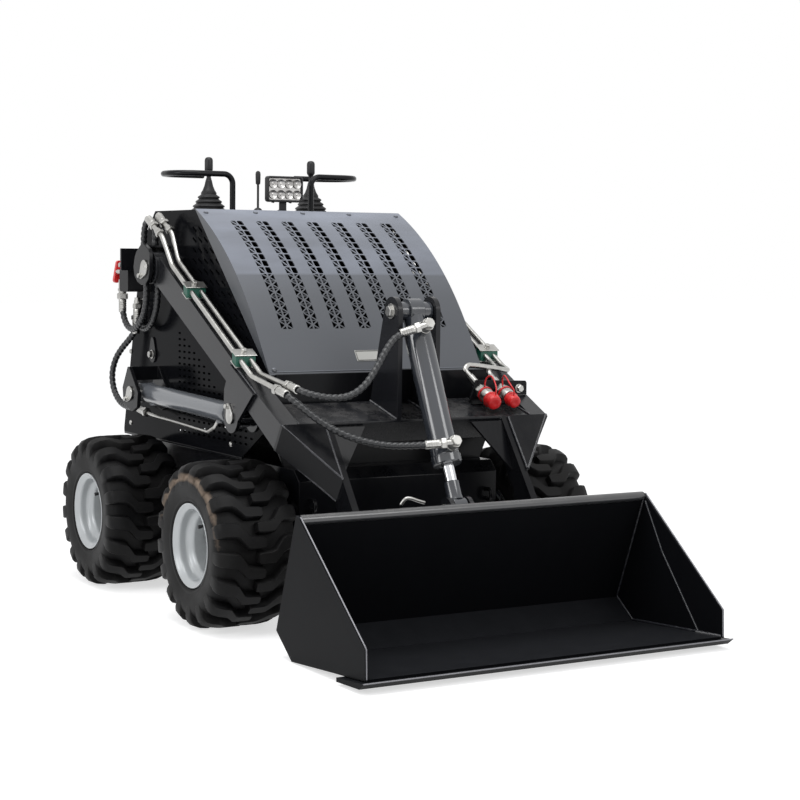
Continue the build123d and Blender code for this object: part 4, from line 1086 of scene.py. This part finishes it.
class LOADER_OT_cylinders(bpy.types.Operator):
    """Dress the cylinders: slate barrels, plated ports, caps and seals"""

    bl_idname = "loader.cylinders"
    bl_label = "Cylinders"

    def execute(self, context):
        for side, sign in SIDES:
            node = "lift_barrel_" + side
            body = "lift_cylinder_" + side

            def plated(x, y, z):
                along = (382 - y) / 687
                gap = abs(z - (586 - 19 * along))
                return gap > 31.5 and -160 < y < 405 and z < 575
            cast(node, body, "zinc", 0.0004, plated, "tube")
            self.lift_barrel(side, sign, body)

        def port(x, y, z):
            place = from_tilt_top(x, y, z)
            run, off = place.dot(TILT_WAY), place.dot(TILT_OUT)
            beside = min(hypot(x, run - middle) for middle in TILT_PORTS) < 14.5 and off > 38.8
            return run < 424 and (beside or x < -13.2 and off > 39.5)
        cast("tilt_barrel", "tilt_cylinder", "zinc", 0.0006, port, "ports")
        barrel = Stock()
        top = mm(0, *TILT_TOP)
        barrel.turned([(-0.0525, 0.0128), (-0.0525, 0.0245), (-0.051, 0.026), (-0.0225, 0.026), (-0.022, 0.0335),
                       (-0.0205, 0.035), (0.0205, 0.035), (0.022, 0.0335), (0.0225, 0.026), (0.051, 0.026),
                       (0.0525, 0.0245), (0.0525, 0.0128)], top, (1, 0, 0), 48)
        barrel.turned([(0.02, 0.03), (0.056, 0.03), (0.058, 0.0365), (0.0595, 0.038), (0.424, 0.038), (0.4255, 0.0398),
                       (0.427, 0.041), (0.448, 0.041), (0.4501, 0.0395), (0.4505, 0.036), (0.4505, 0.0215),
                       (0.448, 0.0205), (0.448, 0.0178)], top, TILT_WAY, 64)
        bolts = Stock()
        for run in TILT_PORTS:
            base = top + TILT_WAY * run / 1000
            barrel.turned([(0.03, 0.0185), (0.0385, 0.0185), (0.0398, 0.0172), (0.0398, 0.012)], base, TILT_OUT, 32)
            bolts.turned([(0.0385, 0.0145), (0.0385, 0.0185), (0.0425, 0.0185), (0.0435, 0.0175), (0.0435, 0.0145)],
                         base, TILT_OUT, 32)
            bolts.turned([(0.046, 0.0135), (0.0465, 0.0175), (0.063, 0.0175), (0.0645, 0.0165), (0.0645, 0.0125)],
                         base, TILT_OUT, 32)
            bolts.hex_head(base + TILT_OUT * 0.0648, TILT_OUT, 0.0265, 0.0115)
        dressed = barrel.done("tilt_barrel_tube", "tilt_cylinder", "cylinder", 30.0, "cylinder_paint")
        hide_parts("tilt_barrel")
        for finish, slot, tag in (("chrome", "chrome_rod", "form"), ("cylinder", "cylinder_paint", "eye")):
            def picked(x, y, z, lower=tag == "eye"):
                return lower == (from_tilt_top(x, y, z).dot(TILT_WAY) > 474)
            cast("tilt_rod", "tilt_piston", finish, 0.001, picked, tag)
        sleeve = Stock()
        sleeve.turned([(0.0, 0.0172), (0.0, 0.0196), (0.0015, 0.0208), (0.04, 0.0208), (0.052, 0.0235),
                       (0.052, 0.0)], top + TILT_WAY * 0.499, TILT_WAY, 40)
        sleeve.done("rod_end_sleeve", "tilt_piston", "cylinder", 30.0)
        bolts.done("tilt_banjo_bolts", "tilt_cylinder", "zinc", 30.0, "zinc_steel")
        return {"FINISHED"}

    def lift_barrel(self, side, sign, body):
        """A lift cylinder's barrel with its rear eye and screwed head."""
        way = (mm(0, *LIFT_FRONT) - mm(0, *LIFT_REAR)).normalized()
        rear = mm(sign * ARM_X, *LIFT_REAR)
        barrel = Stock()
        barrel.turned([(-0.024, 0.0128), (-0.024, 0.0285), (-0.0225, 0.03), (0.0225, 0.03), (0.024, 0.0285),
                       (0.024, 0.0128)], rear, (1, 0, 0), 48)
        barrel.turned([(0.02, 0.0265), (0.034, 0.0265), (0.036, 0.03), (0.585, 0.03), (0.5855, 0.0312),
                       (0.612, 0.0312), (0.6152, 0.0296), (0.616, 0.026), (0.616, 0.0205), (0.6135, 0.0195),
                       (0.6135, 0.0168)], rear, way, 64)
        under = Vector((0, way.z, -way.y)).normalized()
        under = under if under.z < 0 else -under
        for run in (0.06, 0.545):
            barrel.turned([(0.02, 0.014), (0.0325, 0.014), (0.034, 0.0125), (0.034, 0.006)],
                          rear + way * run, under, 24)
        dressed = barrel.done(body + "_barrel", body, "ram", 30.0, "cylinder_paint")
        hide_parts("lift_barrel_" + side)


class LOADER_OT_tubes(bpy.types.Operator):
    """Plate the tubes along the arms and clamp them down"""

    bl_idname = "loader.tubes"
    bl_label = "Arm tubes and clamps"

    def execute(self, context):
        for side, sign in SIDES:
            node = "arm_lines_" + side

            def clamp(x, y, z):
                for middle in CLAMPS:
                    if abs(y - middle) > 14.6 or abs(abs(x) - 400) > 30.4:
                        continue
                    return min(abs(abs(y - middle) - 14), abs(abs(abs(x) - 400) - 30),
                               abs(z - above_arm(y, 0.3)), abs(z - above_arm(y, 32))) < 0.5
                return False
            cast(node, "lift_arm", "green", 0.0025, clamp, "clamps")
            cast(node, "lift_arm", "zinc", 0.0004, lambda x, y, z: not clamp(x, y, z), "tubes")
            plates = Stock()
            for middle in CLAMPS:
                for half, rise, near, thick, edge in ((15.5, 32.2, 366.5, 0.0032, 0.0008),
                                                      (17, 0.2, 361, 0.003, 0.0006)):
                    front = (middle - half, above_arm(middle - half, rise))
                    back = (middle + half, above_arm(middle + half, rise))
                    plates.slab([mm(sign * near, *front), mm(sign * 433.5, *front), mm(sign * 433.5, *back),
                                 mm(sign * near, *back)][::sign], thick, edge)
                up = Vector((0, -0.477, 0.879))
                spot = mm(sign * 400, middle, above_arm(middle, 35.2))
                plates.hex_head(spot, up, 0.0135, 0.0085, 0.0095)
            for x, y, z, back_y, back_z in ((415, 233, 1073, 67, 31), (385, 224, 1082, 61, 30)):
                along = Vector((0, back_y, back_z)).normalized()
                plates.nut(mm(sign * x, y, z), along, 0.025, 0.014, 0.007)
                plates.turned([(0.014, 0.0074), (0.014, 0.0105), (0.026, 0.0105), (0.028, 0.009), (0.028, 0.0074)],
                              mm(sign * x, y, z), along, 24)
            plates.done("clamp_plates_" + side, "lift_arm", "zinc", 30.0, "zinc_steel")
        return {"FINISHED"}


class LOADER_OT_couplers(bpy.types.Operator):
    """Turn the two quick couplers with their red caps and straps"""

    bl_idname = "loader.couplers"
    bl_label = "Couplers"

    def execute(self, context):
        def bracket(x, y, z):
            return y > -502.5 and not (hypot(x - 263, z - 640) < 16 or hypot(x - 331, z - 640) < 16) \
                and (y < -495.5 or z < 606)
        cast("coupler_set", "lift_arm", "body", 0.0008, bracket, "bracket")

        def stub(x, y, z):
            return y > -495.6 and z > 606
        cast("coupler_set", "lift_arm", "zinc", 0.0006, stub, "stubs")
        way = Vector((-0.08, -0.937, -0.34)).normalized()
        metal, caps, strap = Stock(), Stock(), Stock()
        for x, size in ((263, 22.5), (331, 19.5)):
            root = mm(x, -481, 643)
            metal.turned([(0.0, 0.0), (0.0, 0.013), (0.004, 0.015), (0.02, 0.015), (0.022, 0.0185), (0.024, 0.019)],
                         root, way, 32)
            metal.nut(root + way * 0.024, way, 0.036, 0.014, 0.012)
            metal.turned([(0.038, 0.0165), (0.044, 0.0165), (0.045, 0.0195), (0.048, 0.0205), (0.078, 0.0205),
                          (0.081, 0.0195), (0.081, 0.0165), (0.088, 0.016), (0.089, 0.0)], root, way, 40)
            cap = size / 1000
            caps.turned([(0.0865, 0.013), (0.084, cap * 0.78), (0.0845, cap * 0.98), (0.087, cap), (0.102, cap * 0.97),
                         (0.1125, cap * 0.93), (0.1155, cap * 0.88), (0.1174, cap * 0.78), (0.1182, cap * 0.6),
                         (0.1182, cap * 0.3), (0.1172, 0.0)], root, way, 40)
            caps.turned([(0.0885, cap + 0.0002), (0.0895, cap + 0.0014), (0.0935, cap + 0.0014), (0.0945, cap)],
                        root, way, 40)
            caps.turned([(0.05, 0.0208), (0.0505, 0.0226), (0.0555, 0.0226), (0.056, 0.0208)], root, way, 40)
            side = 1 if x < 300 else -1
            near = root + way * 0.053 + Vector((side * 0.004, 0.0076, 0.0215))
            far = root + way * 0.104 + Vector((side * 0.003, -0.0075, cap * 0.9))
            bend = smooth_line([near, near + Vector((0, 0.004, 0.02)), near + Vector((side * 0.008, -0.02, 0.036)),
                                far + Vector((side * 0.006, 0.008, 0.026)), far + Vector((0, -0.004, 0.012)), far], 60)
            strap.pipe(evenly(bend, 0.003), 0.0023, 10)
        metal.done("coupler_bodies", "lift_arm", "zinc", 30.0, "zinc_steel")
        caps.done("coupler_caps", "lift_arm", "red", 35.0)
        strap.done("cap_straps", "lift_arm", "red", 50.0)
        bolt = Stock()
        bolt.hex_head(mm(392, -502, 636), (0, -1, 0), 0.019, 0.011, 0.013)
        bolt.hex_head(mm(297, -502, 612), (0, -1, 0), 0.013, 0.008, 0.0095)
        bolt.done("bracket_bolts", "lift_arm", "zinc", 30.0, "zinc_steel")
        return {"FINISHED"}


class LOADER_OT_valve(bpy.types.Operator):
    """Dress the shut-off valve by the right tower, its red handle and the panel elbows"""

    bl_idname = "loader.valve"
    bl_label = "Valve"

    def execute(self, context):
        cast("control_valve", "chassis", "iron", 0.002, lambda x, y, z: y < 540.3 and z > 894, "block")
        cast("control_valve", "chassis", "red", 0.004, lambda x, y, z: y > 617.5, "handle")
        cast("control_valve", "chassis", "zinc", 0.0006,
             lambda x, y, z: 540.3 <= y <= 617.5 or z <= 894, "fittings")
        parts = Stock()
        for z, across in ((956, 0.02), (918, 0.03)):
            parts.nut(mm(-397, 540.2, z), (0, 1, 0), across, 0.012, 0.005)
        parts.nut(mm(-397, 582, 869), (0, 0, 1), 0.03, 0.02, 0.01)
        parts.nut(mm(-397, 582, 895), (0, 0, 1), 0.026, 0.009, 0.01)
        parts.hex_head(mm(-425, 486, 978), (-1, 0, 0), 0.013, 0.008)
        parts.hex_head(mm(-425, 524, 978), (-1, 0, 0), 0.013, 0.008)
        elbows = ((372, 520, 838), (364, 552, 800), (397, 582, 868))
        for sign, fitted in ((-1, elbows[:2]), (1, elbows)):
            for x, y, z in fitted:
                parts.nut(mm(sign * x, y, z + 1), (0, 0, 1), 0.0225, 0.011, 0.0085)
                parts.nut(mm(sign * 345.2, y, z + 21), (sign, 0, 0), 0.027, 0.01, 0.01)
        parts.done("valve_nuts", "chassis", "zinc", 30.0, "zinc_steel")
        knob = Stock()
        knob.turned([(-0.001, 0.0), (0.0, 0.006), (0.002, 0.0085), (0.006, 0.0095), (0.01, 0.0085), (0.012, 0.004),
                     (0.0125, 0.0)], mm(-397, 619, 956), (0, 1, 0), 24)
        knob.done("valve_boss", "chassis", "red", 35.0)
        return {"FINISHED"}


# Pins, controls and trim

class LOADER_OT_pins(bpy.types.Operator):
    """Fit the pivot pins with their flags and bolts"""

    bl_idname = "loader.pins"
    bl_label = "Pins"

    def execute(self, context):
        cast("chassis_pins", "chassis", "zinc", 0.0008, lambda x, y, z: abs(x) < 451.5)
        cast("arm_pins", "lift_arm", "zinc", 0.0008, lambda x, y, z: abs(x) < 433.5)
        for side, sign in SIDES:
            flags = Stock()
            self.flag(flags, sign, 452.2, ARM_PIVOT, (289, 948), (24, 10))
            self.flag(flags, sign, 452.2, LIFT_REAR, (402, 567), (21.5, 9.5))
            flags.done("chassis_flags_" + side, "chassis", "zinc", 30.0, "zinc_steel")
            front = Stock()
            self.flag(front, sign, 434.2, LIFT_FRONT, (-295, 595), (20.5, 9))
            front.done("arm_flags_" + side, "lift_arm", "zinc", 30.0, "zinc_steel")
        heads = Stock()
        for sign in (-1, 1):
            spot = mm(sign * 67, *TILT_TOP)
            heads.turned([(0.0, 0.0), (0.0, 0.0215), (0.003, 0.0215), (0.0036, 0.0208), (0.0036, 0.0)], spot,
                         (sign, 0, 0), 32)
            heads.hex_head(spot + Vector((sign * 0.0036, 0, 0)), (sign, 0, 0), 0.028, 0.0085)
        heads.done("mast_bolt_heads", "lift_arm", "zinc", 30.0, "zinc_steel")
        return {"FINISHED"}

    def flag(self, stock, sign, x, big, small, sizes):
        """A flat keeper flag welded to a pin's end, with its small bolt."""
        outline = teardrop(lambda a, b: mm(sign * x, a, b), (*big, sizes[0]), (*small, sizes[1]))
        stock.slab(outline[::sign], 0.0055, 0.0009)
        stock.turned([(0, 0), (0, sizes[0] / 1600), (0.0008, sizes[0] / 1750), (0.0008, 0)],
                     mm(sign * (x + 5.3), *big), (sign, 0, 0), 32)
        stock.hex_head(mm(sign * (x + 5.2), *small), (sign, 0, 0), 0.0125, 0.0075, 0.0082)


class LOADER_OT_controls(bpy.types.Operator):
    """Build the sticks, their bellows and guards, the throttle and the lamp"""

    bl_idname = "loader.controls"
    bl_label = "Controls"

    def execute(self, context):
        boots, sticks = Stock(), Stock()
        for sign in (-1, 1):
            foot = mm(sign * 180, 403, DECK)
            rings = []
            for k in range(4):
                wide, narrow = 52 - 6.5 * k, 42 - 6.5 * k
                for rise, half in ((0.2, wide - 2), (1.5, wide - 0.3), (3.5, wide), (6, wide - 0.8), (9, narrow + 5),
                                   (11.5, narrow + 2), (13.5, narrow + 0.3), (14.8, narrow)):
                    rings.append(self.square(foot, (14 * k + 0.93 * rise) / 1000, half / 1000, 0.45 if k < 2 else 0.6))
            for rise, half, roundness in ((0.0585, 0.0235, 0.6), (0.068, 0.0185, 0.8), (0.082, 0.0135, 1.0),
                                          (0.096, 0.0104, 1.0), (0.1, 0.0094, 1.0), (0.1015, 0.0065, 1.0)):
                rings.append(self.square(foot, rise, half, roundness))
            boots.rings(rings, caps=(True, True))
            sticks.turned([(0.095, 0.0065), (0.1, 0.0085), (0.104, 0.0085), (0.106, 0.007), (0.12, 0.007),
                           (0.124, 0.0085), (0.127, 0.0112), (0.13, 0.0126), (0.134, 0.013), (0.159, 0.013),
                           (0.164, 0.0122), (0.168, 0.01), (0.1702, 0.006), (0.171, 0.0)], foot, (0, 0, 1), 32)
            sticks.turned([(0.0, 0.06), (0.0022, 0.0598), (0.0028, 0.0585), (0.0028, 0.03)], foot, (0, 0, 1), 48)
        boot = boots.done("stick_bellows", "chassis", "boot", 60.0, "black_rubber")
        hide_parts("joysticks")
        sticks.done("stick_knobs", "chassis", "plastic", 35.0, "black_plastic")
        cast("stick_guards", "chassis", "body", 0.0035)
        feet = Stock()
        for sign in (-1, 1):
            feet.turned([(0, 0.0), (0.0, 0.018), (0.004, 0.018), (0.0048, 0.017), (0.0048, 0.0092)],
                        mm(sign * 137, 319, DECK), (0, 0, 1), 28)
        feet.done("guard_feet", "chassis", "body", 35.0)
        self.throttle()
        self.lamp()
        return {"FINISHED"}

    def square(self, foot, rise, half, roundness):
        """A ring between a square and a circle."""
        ring = []
        for k in range(40):
            a = 2 * pi * k / 40
            reach = half / max(abs(cos(a)), abs(sin(a)))
            reach = min(reach, half * 1.22)
            r = roundness * half + (1 - roundness) * reach
            ring.append(foot + Vector((r * cos(a), r * sin(a), rise)))
        return ring

    def throttle(self):
        """The thin lever in its slotted rubber, with a grip on top."""
        stock = Stock()
        foot = mm(-83, 250, DECK)
        stock.turned([(0.0, 0.0), (0.0, 0.016), (0.003, 0.0158), (0.006, 0.0125), (0.009, 0.0105), (0.012, 0.006)],
                     foot, (0, 0, 1), 28)
        stock.turned([(0.01, 0.0035), (0.084, 0.0035), (0.0845, 0.0058), (0.087, 0.0072), (0.1, 0.0078), (0.116, 0.008),
                      (0.122, 0.0068), (0.1255, 0.003), (0.126, 0.0)], foot, (0, 0, 1), 24)
        lever = stock.done("throttle_grip", "chassis", "plastic", 35.0, "black_plastic")
        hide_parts("throttle_lever")

    def lamp(self):
        """A square work lamp: bezel, cups of reflectors, fins and a bolted stirrup."""
        case, cups = Stock(), Stock()
        middle, front = 1218, 225
        low, high = middle - 40, middle + 40

        def frame_ring(y, half_x, half_z, round_by):
            return [mm(x, y, z) for x, z in softened(-half_x, middle - half_z, half_x, middle + half_z, round_by)]
        case.rings([frame_ring(229.5, 55, 33, 5), frame_ring(226.2, 56, 34, 5), frame_ring(225.2, 57.5, 35.5, 6),
                    frame_ring(225.4, 60, 38.5, 7), frame_ring(227.5, 62, 40, 8), frame_ring(245, 62, 40, 8),
                    frame_ring(249, 58, 37, 7), frame_ring(252, 50, 30, 6)], caps=(False, True))
        for k in range(9):
            x = -44 + 11 * k
            case.slab([mm(x - 1.4, 250, low + 12), mm(x + 1.4, 250, low + 12), mm(x + 1.4, 250, high - 12),
                       mm(x - 1.4, 250, high - 12)][::-1], 0.019, 0.0006)
        case.slab([mm(-12, 243, 1150), mm(12, 243, 1150), mm(12, 247, 1150), mm(-12, 247, 1150)], 0.034, 0.0006)
        for sign in (-1, 1):
            case.hex_head(mm(sign * 30, 250, 1182), (0, 1, 0), 0.012, 0.006)
        case.turned([(0.0, 0.0), (0.0, 0.015), (0.006, 0.0148), (0.008, 0.011), (0.008, 0.0)], mm(0, 250, DECK),
                    (0, 0, 1), 24)
        body = case.done("lamp_case", "chassis", "plastic", 35.0, "black_plastic")
        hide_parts("work_lamp")
        cups.slab([mm(-56, 231, 1184), mm(56, 231, 1184), mm(56, 231, 1252), mm(-56, 231, 1252)][::-1], 0.002)
        for column in range(4):
            for row in range(2):
                spot = mm(27.5 * (column - 1.5), front + 5.9, middle + 33 * (row - 0.5))
                cups.turned([(0.0045, 0.0135), (0.0038, 0.0128), (0.001, 0.0085), (-0.0003, 0.0045), (-0.0003, 0.0)],
                            spot, (0, -1, 0), 24)
                cups.turned([(-0.0003, 0.0034), (0.0012, 0.0034), (0.0022, 0.002), (0.0024, 0.0)], spot, (0, -1, 0), 12)
        cups.done("lamp_reflectors", "chassis", "lens", 30.0)


class LOADER_OT_welds(bpy.types.Operator):
    """Lay the weld beads along the seams of beam, legs, mast and bucket"""

    bl_idname = "loader.welds"
    bl_label = "Welds"

    def execute(self, context):
        width = context.scene.loader_sizes.bead_width
        arm = Stock()
        for sign in (-1, 1):
            for x in (272, 292):
                arm.bead([mm(sign * x, -592, 567), mm(sign * x, -592, 563), mm(sign * x, -557, 505)], width)
            arm.bead([mm(sign * 369, -441, 609.5), mm(sign * 369, -596, 568.5)], width)
            arm.bead([mm(sign * 424, -596, 568), mm(sign * 292, -702, 427.5)], width)
            arm.bead([mm(sign * 424, -557, 501), mm(sign * 292, -662, 366)], width)
            arm.bead([mm(sign * 293, -700, 427), mm(sign * 293, -597, 566)], width)
            for x in (52.5, 67.5):
                arm.bead([mm(sign * x, -442, 609.5), mm(sign * x, -590, 569.5)], width * 1.2)
            for x in (369, 425):
                arm.bead([mm(sign * x, -448, 640), mm(sign * x, -302, 714), mm(sign * x, -263, 642)], width * 0.7)
        arm.bead([mm(-52, -442, 610.5), mm(52, -442, 610.5)], width)
        arm.done("arm_welds", "lift_arm", "weld", 60.0, "arm_paint")
        pail = Stock()
        for sign in (-1, 1):
            x = sign * 528.5
            pail.bead([mm(x, -926, 366), mm(x, -810, 66), mm(x, -884, 12.5), mm(x, -1258, 35)], width)
            pail.bead([mm(x, -811, 62), mm(x, -884, 11.5)], width)
            pail.bead([mm(x, -930, 352), mm(x, -1010, 220), mm(x, -1172, 26.5)], width * 0.8)
        pail.bead([mm(528, -1162, 26.2), mm(528, -1262, 33.5)], width * 1.4)
        pail.done("bucket_welds", "bucket", "weld", 60.0, "bucket_paint")
        return {"FINISHED"}


class LOADER_OT_trim(bpy.types.Operator):
    """Add the bucket's bare edges, the latch rod, the tie-down loops and small brackets"""

    bl_idname = "loader.trim"
    bl_label = "Trim"

    def execute(self, context):
        bare = Stock()
        bare.pipe(evenly([mm(-552, -1282.6, 28.3), mm(552, -1282.6, 28.3)], 0.02), 0.0018, 8)
        for sign in (-1, 1):
            edge = [mm(sign * 533, -925, 371.5), mm(sign * 533, -1261.2, 105.5), mm(sign * 533, -1264, 33)]
            bare.pipe(evenly(edge, 0.01), 0.002, 8)
        bare.done("bucket_bare_edges", "bucket", "edge", 50.0)
        latch = Stock()
        latch.pipe(evenly(smooth_line([mm(-196, -838, 372), mm(-190, -842, 386), mm(-176, -846, 391),
                                       mm(-150, -846, 380), mm(-128, -842, 374)], 40), 0.004), 0.0045, 12)
        latch.done("latch_rod", "bucket", "zinc", 50.0, "zinc_steel")
        loops = Stock()
        for sign in (-1, 1):
            path = smooth_line([mm(sign * 285, -500, 348), mm(sign * 285, -524, 352), mm(sign * 285, -530, 334),
                                mm(sign * 285, -524, 318), mm(sign * 285, -500, 322)], 40)
            loops.pipe(evenly(path, 0.004), 0.006, 12)
        loops.done("tie_down_loops", "chassis", "body", 50.0, "body_paint")
        clip = Stock()
        for sign in (-1, 1):
            outline = teardrop(lambda a, b: mm(sign * 346, a, b), (455, 700, 26), (455, 742, 12))
            clip.slab(outline[::sign], 0.004, 0.0008)
        clip.done("hose_clips", "chassis", "body", 30.0, "body_paint")
        bolts = Stock()
        for sign in (-1, 1):
            bolts.hex_head(mm(sign * 350, 455, 700), (sign, 0, 0), 0.019, 0.01, 0.014)
            for y, z in ((-120, 470), (640, 470), (640, 700), (600, 860)):
                bolts.turned([(0, 0.008), (0.0015, 0.008), (0.004, 0.0062), (0.0048, 0.003), (0.005, 0)],
                             mm(sign * PANEL_X, y, z), (sign, 0, 0), 16)
        bolts.done("panel_bolts", "chassis", "zinc", 30.0, "zinc_steel")
        return {"FINISHED"}


class LOADER_PT_panel(bpy.types.Panel):
    """Buttons for every part of the loader"""

    bl_idname = "LOADER_PT_panel"
    bl_label = "Loader"
    bl_space_type = "VIEW_3D"
    bl_region_type = "UI"
    bl_category = "Loader"

    def draw(self, context):
        look, sizes = context.scene.loader_look, context.scene.loader_sizes
        for group in (look, sizes):
            for name in group.__annotations__:
                self.layout.prop(group, name)
        for operator in OPERATORS:
            self.layout.operator(operator.bl_idname)


OPERATORS = (LOADER_OT_finishes, LOADER_OT_stage, LOADER_OT_tyres, LOADER_OT_rims, LOADER_OT_body,
             LOADER_OT_towers, LOADER_OT_hood, LOADER_OT_panels, LOADER_OT_hoses, LOADER_OT_cylinders,
             LOADER_OT_tubes, LOADER_OT_couplers, LOADER_OT_valve, LOADER_OT_pins, LOADER_OT_controls,
             LOADER_OT_welds, LOADER_OT_trim)
CLASSES = (LoaderLook, LoaderSizes, *OPERATORS, LOADER_PT_panel)


def register():
    for item in CLASSES:
        bpy.utils.register_class(item)
    bpy.types.Scene.loader_look = PointerProperty(type=LoaderLook)
    bpy.types.Scene.loader_sizes = PointerProperty(type=LoaderSizes)


def unregister():
    del bpy.types.Scene.loader_sizes
    del bpy.types.Scene.loader_look
    for item in reversed(CLASSES):
        bpy.utils.unregister_class(item)


def main():
    """Build the whole scene."""
    register()
    for operator in OPERATORS:
        group, name = operator.bl_idname.split(".")
        getattr(getattr(bpy.ops, group), name)()


if __name__ == "__main__":
    main()
